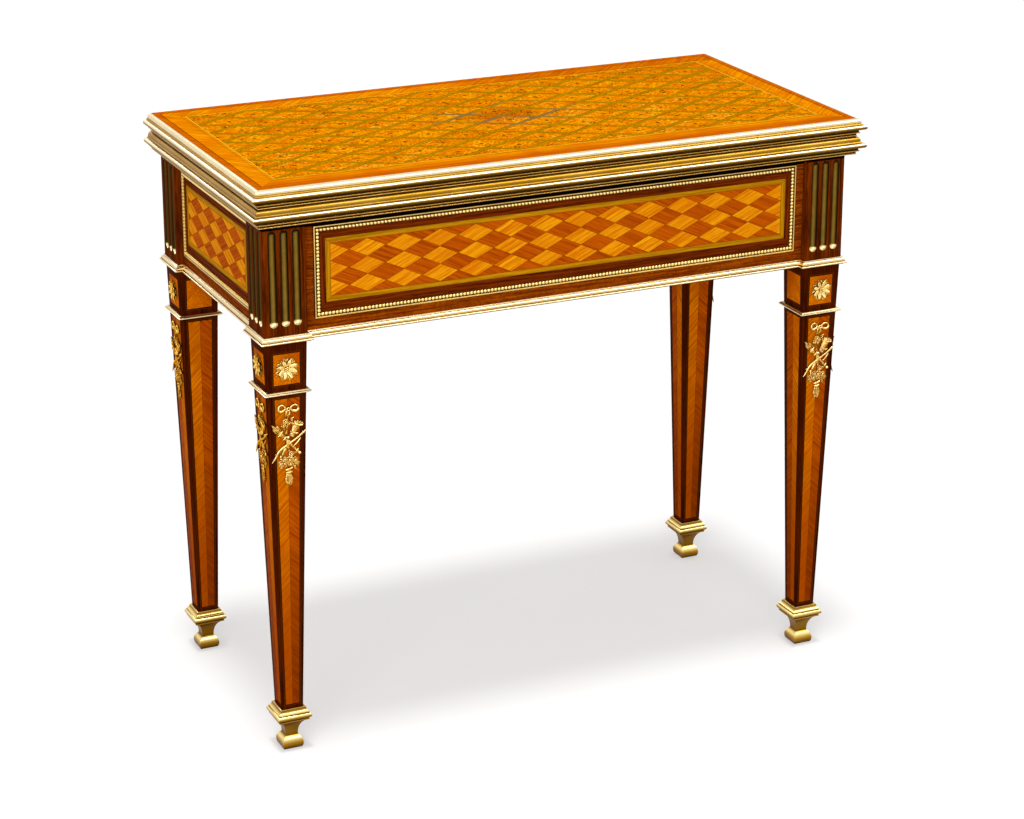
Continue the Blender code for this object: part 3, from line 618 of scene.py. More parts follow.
def frieze_veneer(way, axis, face):
    material = new_material(f"frieze_parquetry_{way}", 0.32, specular=wood_gloss)
    spot = parts_of(coordinates(material))
    low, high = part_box(f"parquetry_{face}")
    across = spot[axis] - (low[axis] + high[axis]) / 2
    level = spot[2] - frieze_middle
    shift = (lozenge_width / 2, 0) if way == "long" else (0, lozenge_height / 2)
    layout = use_group(
        lozenge_layout, U=across + shift[0], V=level + shift[1], Width=lozenge_width, Height=lozenge_height
    )
    grain = use_group(veneer_grain, Along=layout["Along"], Across=layout["Across"], Sheet=layout["Sheet"])
    tone = sheet_tone(layout["Sheet"])
    light = stained(blended(grain["Figure"], (214, 104, 2), (255, 176, 16)), (tone * 0.45, (216, 108, 3)))
    dark = stained(blended(grain["Figure"], (150, 56, 1), (206, 92, 3)), (tone * 0.4, (204, 90, 3)))
    seam = ramped(layout["Edge"], *lozenge_seam)
    lines = use_group(framing, U=across, V=level, Half_U=frieze_half_widths[way], Half_V=frieze_half_height)
    outside = lines["Outside"]
    band = use_group(veneer_grain, Along=either(lines["At End"], across, level), Across=outside, Sheet=5.0)
    string = blended(band["Figure"], (160, 104, 4), (206, 142, 14))
    border = stained(blended(band["Figure"], (60, 16, 2), (128, 48, 5)), (band["Pores"] * 0.4, (40, 10, 2)))
    bands = stained(
        string, (ramped(outside, frieze_string - crisp, frieze_string + crisp), border),
        (ramped(lines["Mitre"], *mitre_line) * 0.6, (60, 20, 2)),
    )
    joints = [ramped(abs(outside - line), *frieze_joint) * 0.6 for line in (0, frieze_string)]
    wood = stained(
        blended(layout["Dark"], light, dark), (grain["Pores"] * 0.25, (120, 44, 2)),
        (seam * 0.75, (84, 30, 1)), (ramped(outside, -crisp, crisp), bands),
        *((joint, (70, 26, 2)) for joint in joints),
    )
    return clad(material, wood, grain["Figure"] - seam * 2.0, grain_depth)


for way, axis, pair in frieze_sides:
    panel_veneer = frieze_veneer(way, axis, pair[0])
    for face in pair:
        refinish(f"parquetry_{face}", panel_veneer)

# Bead frames. A gilt-bronze fillet with a row of cast pearls inside it, mitred round each parquetry panel.
# The profile's points are shares of its width inwards and of its rise, each with its recess: brown with
# patina and painted shade at the foot and in the channel under the pearls, a painted highlight on the
# fillet's crown.
bead_frame_width = 8.0 * mm
bead_frame_rise = 3.6 * mm
pearl_radius = 2.95 * mm
pearl_pitch = 4.9 * mm
pearl_offset = 5.35 * mm
bead_profile_shares = (
    (0, 0.02, 1), (0, 0.5, 0.4), (0.03, 0.70, -0.2), (0.10, 0.80, -0.5), (0.18, 0.78, -0.4), (0.25, 0.66, 0),
    (0.30, 0.36, 1), (0.36, 0.22, 1), (0.92, 0.22, 1), (0.95, 0.34, 0.6), (1, 0.34, 0.6), (1, 0.02, 1),
)


def bronze_group():
    """Fire-gilt bronze. Recess is 1 where patina in a hollow and painted shade make it brown, and -1 where a
    painted highlight and rubbing make a crown bright."""
    tree, takes, gives = shader_group(
        "gilt_bronze_surface",
        ["Spot:Vector", "Recess", "Gold:Color", "Pale:Color", "Bright:Color", "Chasing"],
        ["Colour:Color", "Roughness", "Height"],
    )
    broad, fine = noise(takes["Spot"], 14, 3), noise(takes["Spot"], 380)
    worn = ramped(fine + broad * 0.5, 0.78, 1.0)
    depth = (noise(takes["Spot"], 640, 1) - 0.5) * takes["Chasing"] + takes["Recess"]
    highlight_and_rub = clamped(depth * (broad * -0.4 - 0.8))
    shade_and_patina = clamped(depth * (fine * 0.4 + 0.8)) ** 0.6
    colour = stained(
        blended(ramped(broad, 0.35, 0.65), takes["Gold"], takes["Pale"]), (worn * 0.2, (164, 112, 26)),
        (highlight_and_rub, takes["Bright"]), (shade_and_patina, (58, 30, 0)),
    )
    give(gives, Colour=colour, Roughness=shade_and_patina * 0.3 + (fine * 0.1 + 0.2), Height=broad * 0.6 + fine * 0.4)
    return tree


def gilt_finish(name, gold, pale, bright, bump, chasing=0.0, edge_tint=(255, 255, 255)):
    """Gilt bronze on a piece whose recess attribute gives each point's patina and painted shade (above 0) and
    its painted highlight and rub (below 0).
    """
    material = new_material(name, 0.25, metallic=1)
    surface = use_group(
        gilt_surface, Spot=coordinates(material), Recess=attribute(material, "recess"), Gold=gold, Pale=pale,
        Bright=bright, Chasing=chasing,
    )
    feed(shader_inputs(material)["Specular Tint"], edge_tint)
    return clad(material, surface["Colour"], surface["Height"], bump, surface["Roughness"])


def rectangle(centre, half_x, half_y):
    """Corners in anticlockwise order, as run_moulding takes them."""
    return [(centre.x + x * half_x, centre.y + y * half_y) for x, y in ((-1, -1), (1, -1), (1, 1), (-1, 1))]


def profiled(shares, reach, foot, height):
    """A moulding's profile in real sizes."""
    return [(reach * outward, foot + height * upward, depth) for outward, upward, depth in shares]


def run_moulding(corners, profile, closed=True):
    """A moulding with mitred corners. Its path runs anticlockwise seen from above, and is extruded from each
    point of the profile to the next: (outward, upward, recess)."""
    bm = bmesh.new()
    corner_of = bm.verts.layers.int.new("corner")
    recess = bm.verts.layers.float.new("recess")
    spots = [Vector(corner) for corner in corners]
    count = len(spots)
    mitres = []
    for index, spot in enumerate(spots):
        before, after = spot - spots[index - 1], spots[(index + 1) % count] - spot
        if not closed and index == 0:
            before = after
        if not closed and index == count - 1:
            after = before
        normals = [Vector((run.y, -run.x)).normalized() for run in (before, after)]
        mitres.append((normals[0] + normals[1]) / (1 + normals[0].dot(normals[1])))

    def settle(verts, outward, upward, depth):
        for vert in verts:
            spot = spots[vert[corner_of]] + mitres[vert[corner_of]] * outward
            vert.co = (spot.x, spot.y, upward)
            vert[recess] = depth

    verts = [bm.verts.new() for _ in spots]
    for index, vert in enumerate(verts):
        vert[corner_of] = index
    edges = [bm.edges.new(pair) for pair in zip(verts, verts[1:])]
    if closed:
        edges.append(bm.edges.new((verts[-1], verts[0])))
    settle(verts, *profile[0])
    for outward, upward, depth in [*profile[1:], profile[0]]:
        made = bmesh.ops.extrude_edge_only(bm, edges=edges)["geom"]
        verts = [item for item in made if isinstance(item, bmesh.types.BMVert)]
        new = set(verts)
        edges = [item for item in made if isinstance(item, bmesh.types.BMEdge) and new.issuperset(item.verts)]
        settle(verts, outward, upward, depth)
    bmesh.ops.remove_doubles(bm, verts=bm.verts, dist=merge_gap / 10)
    if not closed:
        bmesh.ops.edgeloop_fill(bm, edges=[edge for edge in bm.edges if edge.is_boundary])
    return bm


def pearl_row(bm, start, end):
    """Pearls from one corner to the next, spaced evenly, with a painted highlight on top and painted shade
    low down, where they sit and meet.
    """
    recess = bm.verts.layers.float["recess"]
    run = Vector(end) - Vector(start)
    count = round(run.length / pearl_pitch)
    for number in range(count):
        spot = Vector(start) + run * (number / count)
        seat = Matrix.Translation((*spot, bead_frame_rise - pearl_radius))
        for vert in bmesh.ops.create_icosphere(bm, subdivisions=2, radius=pearl_radius, matrix=seat)["verts"]:
            height = (vert.co.z - bead_frame_rise) / pearl_radius + 1
            vert[recess] = 0.6 - 1.45 * height


def bead_frame_form(face):
    """Drawn lying flat, then stood up against the rail and turned to its side of the table."""
    low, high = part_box(f"bead_frame_{face}")
    along = 0 if face in ("front", "back") else 1
    half, half_height = (high[along] - low[along]) / 2, (high.z - low.z) / 2
    flat_middle = Vector((0, 0))
    profile = profiled(bead_profile_shares, -bead_frame_width, 0, bead_frame_rise)
    bm = run_moulding(rectangle(flat_middle, half, half_height), profile)
    bm.normal_update()
    inner = rectangle(flat_middle, half - pearl_offset, half_height - pearl_offset)
    for start, end in zip(inner, inner[1:] + inner[:1]):
        pearl_row(bm, start, end)
    facing = Vector(facings[face])
    turn = face_names.index(face) * math.pi / 2
    back = low if facing.x + facing.y > 0 else high
    centre = (low + high) / 2
    seat = Vector((back.x if along else centre.x, centre.y if along else back.y, centre.z))
    stand = Matrix.Translation(seat) @ Matrix.Rotation(turn, 4, "Z") @ Matrix.Rotation(math.pi / 2, 4, "X")
    bmesh.ops.transform(bm, matrix=stand, verts=bm.verts)
    return bm


def gilt_mount(name, bm, finish, node, sharp_angle=32, recalculate=True, body="base"):
    finished(name, bm, finish, body, [node], sharp_angle, recalculate)


gilt_surface = bronze_group()
gilt_moulded = gilt_finish("gilt_moulding", (190, 140, 40), (208, 162, 66), (244, 230, 190), 0.05 * mm)
gilt_warm = gilt_finish("gilt_warm", (160, 112, 20), (184, 136, 40), (255, 234, 156), 0.1 * mm)
for face in face_names:
    gilt_mount(f"beaded_frame_{face}", bead_frame_form(face), gilt_warm, f"bead_frame_{face}", 40)

# Apron moulding. One gilt-bronze strip along the foot of the frieze, pinned to it, which breaks forward round
# each corner post: a bead, a quirk and a hollow that runs up to the wood.
moulding_seat = 0.3 * mm


def arc(centre, radii, start, end, steps, depths=(0, 0)):
    """Profile points on a round or oval arc, with angles in degrees; the recess runs between depths."""
    points = []
    for step in range(steps + 1):
        share = step / steps
        angle = math.radians(start + (end - start) * share)
        depth = depths[0] + (depths[1] - depths[0]) * share
        points.append((centre[0] + radii[0] * math.cos(angle), centre[1] + radii[1] * math.sin(angle), depth))
    return points


def apron_form():
    """The path follows the corner posts and the recessed rails between them."""
    low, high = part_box("leg_front_left")[0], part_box("leg_back_right")[1]
    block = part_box("leg_front_left")[1].x - low.x
    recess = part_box("frieze_rail_front")[0].y - low.y
    middle, half = (low + high) / 2, (high - low) / 2
    path = []
    for quarter in range(4):
        across, along = (half.x, half.y) if quarter % 2 == 0 else (half.y, half.x)
        turn = Matrix.Rotation(quarter * math.pi / 2, 2)
        for x, y in ((-across, -along), (block - across, -along), (block - across, recess - along),
                     (across - block, recess - along), (across - block, -along)):
            path.append(turn @ Vector((x, y)) + middle.xy)
    box_low, box_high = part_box("apron_moulding")
    reach, height = low.x - box_low.x, box_high.z - box_low.z
    seat = moulding_seat / reach
    bead, hollow = ((0.80, 0.24), (0.20, 0.12)), ((0.18, 0.42), (0.50, 0.42))
    # Third numbers: painted shade under the strip and the bead, brown in the quirks with patina and painted
    # shade, and a painted highlight on the bead's crown, up the hollow and on the top fillet.
    shares = [
        (seat, 0, 1), (0.45, 0, 1), (0.45, 0.10, 1), (0.80, 0.12, 0.9), *arc(*bead, -80, 0, 4, (0.8, -0.3)),
        *arc(*bead, 20, 80, 3, (-1, -1)), (0.80, 0.37, 0.8), (0.70, 0.38, 1), (0.69, 0.41, 0.3),
        *arc(*hollow, 8, 84, 6, (-0.35, -1)),
        (0.20, 0.87, 0.7), (0.28, 0.90, -0.3), (0.28, 0.97, -0.8), (0.18, 1, -0.8), (seat, 1, 0.5),
    ]
    return run_moulding(path, profiled(shares, reach, box_low.z, height))


gilt_mount("gilt_apron", apron_form(), gilt_moulded, "apron_moulding")

# Sabots. Cast square bronze feet that each leg stands in: a cushion pad, a waist, a spreading hollow and a
# cap of fillets round the leg's foot.
sabot_core_half = 6
sabot_profile = (
    (sabot_core_half, 0.0, 1), (11.8, 0.0, 1), (12.9, 0.8, 0.95), (13.7, 2.6, 0.6), (14.2, 5.0, 0.35),
    (14.3, 7.2, 0.15), (14.1, 9.2, 0), (13.6, 11.2, -0.25), (12.7, 13.2, -0.7), (11.5, 15.0, -0.8),
    (10.2, 16.5, -0.3), (9.2, 17.6, 0.1), (8.5, 18.4, 0.7), (8.4, 19.6, 0.5), (8.5, 22.0, 0.35),
    (8.9, 25.4, 0.35), (9.7, 29.0, 0.35), (10.9, 32.4, 0.35), (12.6, 35.6, 0.45), (14.8, 38.4, 0.6),
    (17.2, 40.5, 0.9), (19.2, 41.7, 0.9), (20.9, 42.2, 0.2), (21.0, 43.7, -0.1), (20.5, 44.1, 0.9),
    (20.3, 44.8, 1), (21.2, 45.2, 1), (22.5, 46.0, 0.7), (23.3, 47.2, 0.3), (23.55, 48.7, 0),
    (23.3, 50.1, -0.6), (22.6, 51.3, -0.8), (21.6, 52.1, -0.5), (20.9, 52.4, 0.6), (20.8, 52.9, 0.6),
    (21.1, 53.2, -0.2), (20.9, 54.0, -0.7), (19.7, 54.9, -0.7), (18.7, 56.1, -0.4), (18.1, 57.5, 0),
    (17.8, 58.9, 0.3), (17.7, 59.2, 0.5), (17.3, 59.4, 0), (17.1, 60.2, -0.5), (16.6, 60.5, -0.5),
    (14.95, 60.5, 0.5), (14.95, 58.0, 1), (sabot_core_half, 54.2, 1),
)


def sabot_form(corner):
    """Its profile is in millimetres: half width, height and recess. The recess puts painted shade on the
    undersides and along the waist, brown in the quirks, and a painted highlight on the crowns of the cushion
    and cap.
    """
    low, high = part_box(f"sabot_{corner}")
    shares = [(half - sabot_core_half, level, depth) for half, level, depth in sabot_profile]
    core = sabot_core_half * mm
    return run_moulding(rectangle((low + high) / 2, core, core), profiled(shares, mm, 0, mm))


for corner in corner_names:
    gilt_mount(f"gilt_sabot_{corner}", sabot_form(corner), gilt_warm, f"sabot_{corner}", 34)

# Collars. A thin gilt moulding mitred round each leg under its rosette, with a crisp edge and a sloped top.
# Its inner edge is let a little way out of the leg's taper.
collar_gap = 0.2 * mm


def collar_form(corner):
    low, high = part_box(f"collar_{corner}")
    half = leg_half_at((low.z + high.z) / 2)
    reach, height = (high.x - low.x) / 2 - half, high.z - low.z
    bottom, top = ((leg_half_at(level) - half + collar_gap) / reach for level in (low.z, high.z))
    # Third numbers: painted shade on the underside, a painted highlight on the crisp edge and the sloped top,
    # and a brown line between them.
    shares = [
        (bottom, 0, 1), (0.45, 0, 1), (0.62, 0.16, 0.9), (0.92, 0.22, 0.3), (1, 0.30, -0.6), (1, 0.46, -1),
        (0.92, 0.54, -1), (0.86, 0.56, 0.5), (0.80, 0.62, -0.1), (0.62, 0.82, -0.8), (0.40, 0.95, -0.6),
        (0.22, 1, -0.3), (top, 1, 0.5),
    ]
    return run_moulding(rectangle((low + high) / 2, half, half), profiled(shares, reach, low.z, height))


for corner in corner_names:
    gilt_mount(f"gilt_collar_{corner}", collar_form(corner), gilt_moulded, f"collar_{corner}")

# Rosettes. One cast flower on each outer face of the upper leg: sixteen narrow petals, eight broad ones over
# them and a seeded middle, chased and gilt.
rosette_oversize = 1 * mm
rosette_rise = 5.2 * mm


def casting():
    """An empty bmesh with the recess layer, which holds each point's patina and painted shade (above 0) and
    painted highlight (below 0).
    """
    bm = bmesh.new()
    bm.verts.layers.float.new("recess")
    return bm


def petal(bm, root, tip, width, thickness, lift, curl=0, pointed=0.6, groove=0.5, gleam=0.5, outline=1.1):
    """A petal or leaf between two spots (across, up), hollowed down its middle and curled at its tip. Its
    crown and tip carry a painted highlight; its groove is brown with patina and painted shade, and its
    outline and underside with painted shade."""
    root, run = Vector(root), Vector(tip) - Vector(root)
    side = Vector((run.y, -run.x)).normalized()
    recess = bm.verts.layers.float["recess"]
    for vert in bmesh.ops.create_uvsphere(bm, u_segments=12, v_segments=8, radius=1)["verts"]:
        along, across, out = (vert.co.z + 1) / 2, vert.co.x, -vert.co.y
        narrow = (1 - along) ** (0.5 * pointed) if along < 1 else 0
        spot = root + run * along + side * (across * narrow * width / 2)
        middle = 1 - min(1, abs(across) * 1.8)
        hollow = groove * middle if out > 0 else 0
        vert.co = (spot.x, -(lift + curl * along**2 + thickness * (out - hollow)), spot.y)
        edge = max(0, abs(across) - 0.5) / 0.5
        crown = gleam * (0.4 + 0.6 * along) * (1 - hollow) * (1 - edge)
        vert[recess] = hollow * 1.8 + outline * edge - crown if out > -0.1 else 1


def settle_recess(bm, full_depth):
    """Adds patina and painted shade near the wood, painted shade on the flanks, and a painted highlight on
    what stands out and looks outwards and up.
    """
    recess = bm.verts.layers.float["recess"]
    bm.normal_update()
    for vert in bm.verts:
        low = max(0, 1 + vert.co.y / full_depth)
        # Painted highlight where the surface faces up, out and a little left; painted shade on flanks that
        # face sideways, less on those facing right.
        looks_up = 0.62 * -vert.normal.y + 0.72 * vert.normal.z - 0.3 * vert.normal.x
        bright = max(0, looks_up - 0.55) / 0.35 * (1 - low) * 1.1
        flank_shade = (1.5 - max(0, vert.normal.x)) * max(0, 0.55 + vert.normal.y)
        vert[recess] = max(-1, min(1, vert[recess] + 1.3 * low + flank_shade - bright))


def rosette_form(radius, rise):
    bm = casting()
    recess = bm.verts.layers.float["recess"]
    disc = bmesh.ops.create_uvsphere(bm, u_segments=20, v_segments=8, radius=1)["verts"]
    bmesh.ops.scale(bm, verts=disc, vec=(radius * 0.62, rise * 0.3, radius * 0.62))
    # The disc under the petals is brown: patina and painted shade between them.
    for vert in disc:
        vert[recess] = 0.8
    for number in range(16):
        angle = math.tau * (number + 0.3) / 16
        way = Vector((math.sin(angle), math.cos(angle))) * radius
        reach, curl = (1, 0.22) if number % 2 else (0.92, 0.1)
        sizes = (radius * 0.34, rise * 0.14, rise * 0.2, rise * curl)
        petal(bm, way * 0.3, way * reach, *sizes, 0.2, 0.7, 0.9, 0.5)
    for number in range(8):
        angle = math.tau * (number + 0.4) / 8
        way = Vector((math.sin(angle), math.cos(angle))) * radius
        sizes = (radius * 0.44, rise * 0.17, rise * 0.42, rise * 0.34)
        petal(bm, way * 0.16, way * 0.84, *sizes, 0.35, 0.2, 1.0)
    for number in range(7):
        angle = math.tau * number / 6
        way = Vector((math.sin(angle), 0, math.cos(angle))) * (radius * 0.16 if number < 6 else 0)
        seed = bmesh.ops.create_icosphere(bm, subdivisions=2, radius=radius * 0.085)["verts"]
        bmesh.ops.translate(bm, verts=seed, vec=(way.x, -rise * 0.55, way.z))
    settle_recess(bm, rise * 0.45)
    return bm


def mounted(shape, node):
    """A copy of a mount's form, drawn facing the front, set on the leg's sloping face where its node is."""
    low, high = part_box(node)
    corner, face = node.split("_", 1)[1].rsplit("_", 1)
    leg_low, leg_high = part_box(f"leg_{corner}")
    level = high.z if node.startswith("trophy") else (low.z + high.z) / 2
    seat = (leg_low + leg_high) / 2 + Vector((*facings[face], 0)) * leg_half_at(level)
    seat.z = level
    tilt = Matrix.Rotation(math.atan(leg_slope), 4, "X")
    turn = Matrix.Rotation(face_names.index(face) * math.pi / 2, 4, "Z")
    bm = shape.copy()
    bmesh.ops.transform(bm, matrix=Matrix.Translation(seat) @ turn @ tilt, verts=bm.verts)
    return bm


def mount_castings(kind, shape, sharp_angle):
    """Sets one casting on every leg face that has a node for it; the shape is used up."""
    for node in list(nodes):
        if node.startswith(kind):
            gilt_mount(f"cast_{node}", mounted(shape, node), gilt_cast, node, sharp_angle, False)
    shape.free()


gilt_cast = gilt_finish(
    "gilt_casting", (194, 120, 0), (224, 154, 14), (255, 242, 164), 0.2 * mm, 2.6, (255, 206, 96)
)
low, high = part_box("rosette_front_left_front")
mount_castings("rosette_", rosette_form((high.x - low.x) / 2 + rosette_oversize, rosette_rise), 60)

# Trophies. One gilt casting under each collar: a ribbon bow with a sprig of flowers, a torch, a quiver and an
# archer's bow crossed, and a posy with a leaf drop hanging from rings.
trophy_relief = 2.4 * mm
trophy_back = 0.1 * mm
trophy_sunk = 0.2 * mm


def rod(bm, course, radii, lift, flat=1.0, closed=False):
    """A cast rod or ribbon along spots (across, down) in millimetres; lift is its middle's height."""
    curve = bpy.data.curves.new("rod", "CURVE")
    curve.dimensions = "3D"
    curve.resolution_u = 5
    curve.bevel_depth = mm
    curve.bevel_resolution = 2
    curve.use_fill_caps = not closed
    spline = curve.splines.new("NURBS")
    spline.points.add(len(course) - 1)
    for item, (across, down), radius in zip(spline.points, course, radii):
        item.co = (across * mm, 0, -down * mm, 1)
        item.radius = radius
    spline.order_u = min(4, len(course))
    spline.use_endpoint_u = not closed
    spline.use_cyclic_u = closed
    maker = in_scene("rod", curve)
    bpy.context.view_layer.update()
    mesh = bpy.data.meshes.new_from_object(maker.evaluated_get(bpy.context.evaluated_depsgraph_get()))
    mesh.transform(Matrix.Translation((0, -lift * mm, 0)) @ Matrix.Scale(flat, 4, (0, 1, 0)))
    bm.from_mesh(mesh)
    bpy.data.objects.remove(maker)
    bpy.data.curves.remove(curve)
    bpy.data.meshes.remove(mesh)


def ball(bm, across, down, radius, lift, squash=1.0):
    made = bmesh.ops.create_icosphere(bm, subdivisions=2, radius=radius * mm)["verts"]
    bmesh.ops.scale(bm, verts=made, vec=(1, squash, 1))
    bmesh.ops.translate(bm, verts=made, vec=(across * mm, -lift * mm, -down * mm))


def leaf(bm, root, tip, width, lift, curl=0.6, thickness=0.7, pointed=0.8):
    ends = [(across * mm, -down * mm) for across, down in (root, tip)]
    petal(bm, *ends, width * mm, thickness * mm, lift * mm, curl * mm, pointed)


def blossom(bm, across, down, radius, lift, petals=6, start=0.0):
    for number in range(petals):
        angle = math.tau * (number + start) / petals
        tip = (across + radius * math.sin(angle), down - radius * math.cos(angle))
        leaf(bm, (across, down), tip, radius * 0.85, lift, 0.5, 0.6, 0.25)
    ball(bm, across, down, radius * 0.3, lift + 0.8)


def each(make, bm, *forms):
    for form in forms:
        make(bm, *form)


def trophy_form():
    """Everything is in millimetres across and down from the collar, in the order that it lies on the wood."""
    bm = casting()
    # Ribbon bow, its knot ring and tails
    turns = [math.tau * step / 8 for step in range(8)]
    knot = [(0.2 + 2.2 * math.cos(turn), 8.0 + 2.3 * math.sin(turn)) for turn in turns]
    each(
        rod, bm,
        ([(-2.4, 7.2), (-5.6, 2.8), (-9.6, 1.2), (-13.2, 4.6), (-12.8, 9.4), (-9.8, 11.6), (-5.6, 9.2)],
         (1.5, 1.2, 1.1, 1.3, 1.9, 2.1, 1.9), 2.0, 0.9, True),
        ([(2.4, 7.0), (6.0, 3.8), (10.2, 3.0), (14.4, 6.4), (13.8, 11.0), (9.6, 12.4), (5.4, 10.6)],
         (1.5, 1.2, 1.2, 1.4, 2.2, 2.4, 1.7), 2.1, 0.9, True),
        (knot, [1.1] * 8, 3.3, 1.0, True),
        ([(-0.8, 10), (-3.2, 13), (-1.6, 16.5), (-3.8, 20.4)], (1.5, 2.0, 1.7, 0.6), 1.4, 0.7),
        ([(1.4, 10), (3.0, 13), (1.8, 16.5), (0.4, 20.0)], (1.2, 1.8, 1.5, 0.5), 1.5, 0.7),
    )
    # Sprig of flowers over the crossing
    rod(bm, [(0.2, 12), (-1.0, 20), (-1.2, 31), (-1.6, 40), (-1, 54)], (0.9, 1.0, 1.0, 1.2, 1.3), 0.9)
    each(
        leaf, bm, ((-1.0, 19.0), (3.2, 13.6), 3.4, 2.0), ((3.0, 24.0), (8.0, 19.6), 4.2, 2.0),
        ((3.4, 26.6), (6.6, 23.4), 3.2, 1.8),
    )
    each(
        blossom, bm, (-3.7, 24.4, 4.0, 2.3, 6), (-6.4, 29.6, 3.8, 2.1, 5, 0.4), (1.0, 27.8, 3.0, 2.0, 5, 0.2),
    )
    each(
        leaf, bm, ((-3.0, 36.0), (0.8, 28.8), 3.6, 1.8), ((-1.5, 37.5), (-6.6, 34.0), 3.6, 1.6),
        ((-1.0, 38.5), (-4.6, 42.4), 3.2, 1.6),
    )
    # Torch: flame, cup and handle with a ball at its end
    each(
        leaf, bm, ((-10.6, 40.6), (-22.6, 27.0), 5.4, 2.2, 0.6, 1.6, 0.5),
        ((-9.6, 38.4), (-16.6, 28.6), 5.2, 2.8, 0.6, 1.6, 0.5),
        ((-12.4, 41.4), (-21.4, 32.2), 5.2, 2.4, 0.5, 1.5, 0.5),
        ((-11.0, 40.4), (-17.6, 32.0), 4.4, 3.2, 0.4, 1.2, 0.5),
    )
    each(
        rod, bm,
        ([(-13.6, 38.4), (-10.8, 41.4), (-8.2, 44.0), (-4.6, 47.2)], (3.6, 4.4, 3.4, 2.4), 2.0, 0.72),
        ([(-14.6, 43.0), (-12.0, 41.8), (-10.0, 39.6), (-8.4, 36.0)], (0.9, 1.2, 1.2, 0.9), 4.1),
        ([(-7.4, 48.6), (-5.4, 47.0), (-3.4, 44.6)], (0.9, 1.2, 0.9), 3.9),
        ([(-4.0, 47.8), (2.6, 56.6), (8.0, 62.4), (13.6, 68.6)], (2.1, 1.9, 1.8, 1.9), 2.3, 0.9),
        ([(9.6, 66.4), (11.2, 65.0), (12.6, 62.8)], (0.8, 1.0, 0.8), 3.8),
    )
    ball(bm, 14.8, 70.0, 2.5, 2.3)
    # Quiver: flared mouth with arrow feathers, ring bands, the boss at the crossing and the tail
    for tip in ((4.8, 25.4), (8.6, 24.0), (12.6, 24.4), (16.6, 26.2), (19.4, 28.6)):
        leaf(bm, (11.4 + (tip[0] - 12.0) * 0.6, 32.6), tip, 4.6, 2.9, 0.8, 1.1, 0.25)
    each(
        rod, bm, ([(13.0, 28.0), (10.4, 33.0), (7.6, 39.0), (4.0, 45.4)], (6.0, 5.4, 5.0, 3.4), 1.9, 0.56),
        ([(5.2, 27.6), (9.6, 30.6), (14.0, 31.8), (18.6, 31.6)], (1.0, 1.3, 1.3, 1.0), 4.3, 0.8),
        ([(1.6, 37.6), (5.0, 40.8), (8.6, 42.4), (12.6, 42.2)], (1.0, 1.4, 1.4, 1.0), 4.1, 0.8),
        ([(0.6, 42.6), (3.4, 44.6), (6.8, 45.8)], (0.9, 1.2, 0.9), 4.0, 0.8),
    )
    ball(bm, -0.6, 46.6, 2.6, 2.9, 0.8)
    each(
        rod, bm, ([(-0.4, 49.6), (-0.9, 53.0), (-1.2, 57.0), (-1.6, 60.4)], (2.6, 3.1, 3.1, 2.4), 2.2, 0.9),
        ([(-3.6, 60.6), (-5.4, 64.0), (-7.4, 67.6), (-8.6, 70.4)], (2.4, 2.2, 1.9, 1.3), 1.7, 0.8),
        ([(0.4, 59.6), (1.0, 62.8), (0.6, 66.0)], (1.6, 1.4, 1.2), 1.7, 0.8),
    )
    # Archer's bow and its string
    bow = [
        (24.0, 39.2), (19.8, 42.0), (15.4, 46.4), (8.4, 50.4), (1.6, 54.4), (-6.2, 58.6), (-12.2, 62.8),
        (-16.0, 67.4), (-18.0, 73.0), (-22.8, 78.6),
    ]
    rod(bm, bow, (0.8, 2.0, 1.3, 1.5, 1.6, 2.1, 1.7, 1.4, 1.5, 0.6), 3.0, 0.9)
    ball(bm, 19.6, 42.4, 2.1, 3.0)
    rod(bm, [(16.2, 49.4), (13.6, 54.0), (7.6, 59.0)], (0.9, 1.2, 1.1), 2.2)
    rod(bm, [(-7.0, 61.6), (-13.4, 67.6), (-18.4, 68.6)], (0.9, 1.1, 0.8), 1.9)
    # Posy under the crossing, with leaves spreading from it
    for root, tip, width in (
        ((-5, 78), (-15.4, 80.6), 5.0), ((-6, 80), (-14.2, 85.4), 4.8), ((-6, 80), (-11.6, 90.6), 5.0),
        ((6, 78), (15.4, 84.0), 4.8), ((7, 79), (13.4, 87.8), 4.6), ((6, 80), (9.4, 93.0), 4.8),
        ((-2, 80), (-5.4, 88.0), 4.2), ((2, 80), (4.6, 87.6), 4.2), ((-7, 75), (-12.4, 70.6), 4.2),
        ((5, 70), (11.4, 68.2), 4.0),
    ):
        leaf(bm, root, tip, width, 1.6, 0.9, 0.9, 0.5)
    each(
        blossom, bm, (0.6, 77.6, 5.6, 2.9, 7), (-5.6, 76.2, 4.2, 2.5, 6, 0.3), (8.4, 78.4, 4.4, 2.4, 6, 0.1),
        (-6.6, 81.8, 3.8, 2.3, 6, 0.5), (3.6, 69.8, 4.2, 2.4, 6), (1.6, 83.0, 3.6, 2.3, 6, 0.5),
    )
    ball(bm, -11.0, 72.4, 1.8, 2.0)
    ball(bm, -10.6, 75.4, 1.6, 2.0)
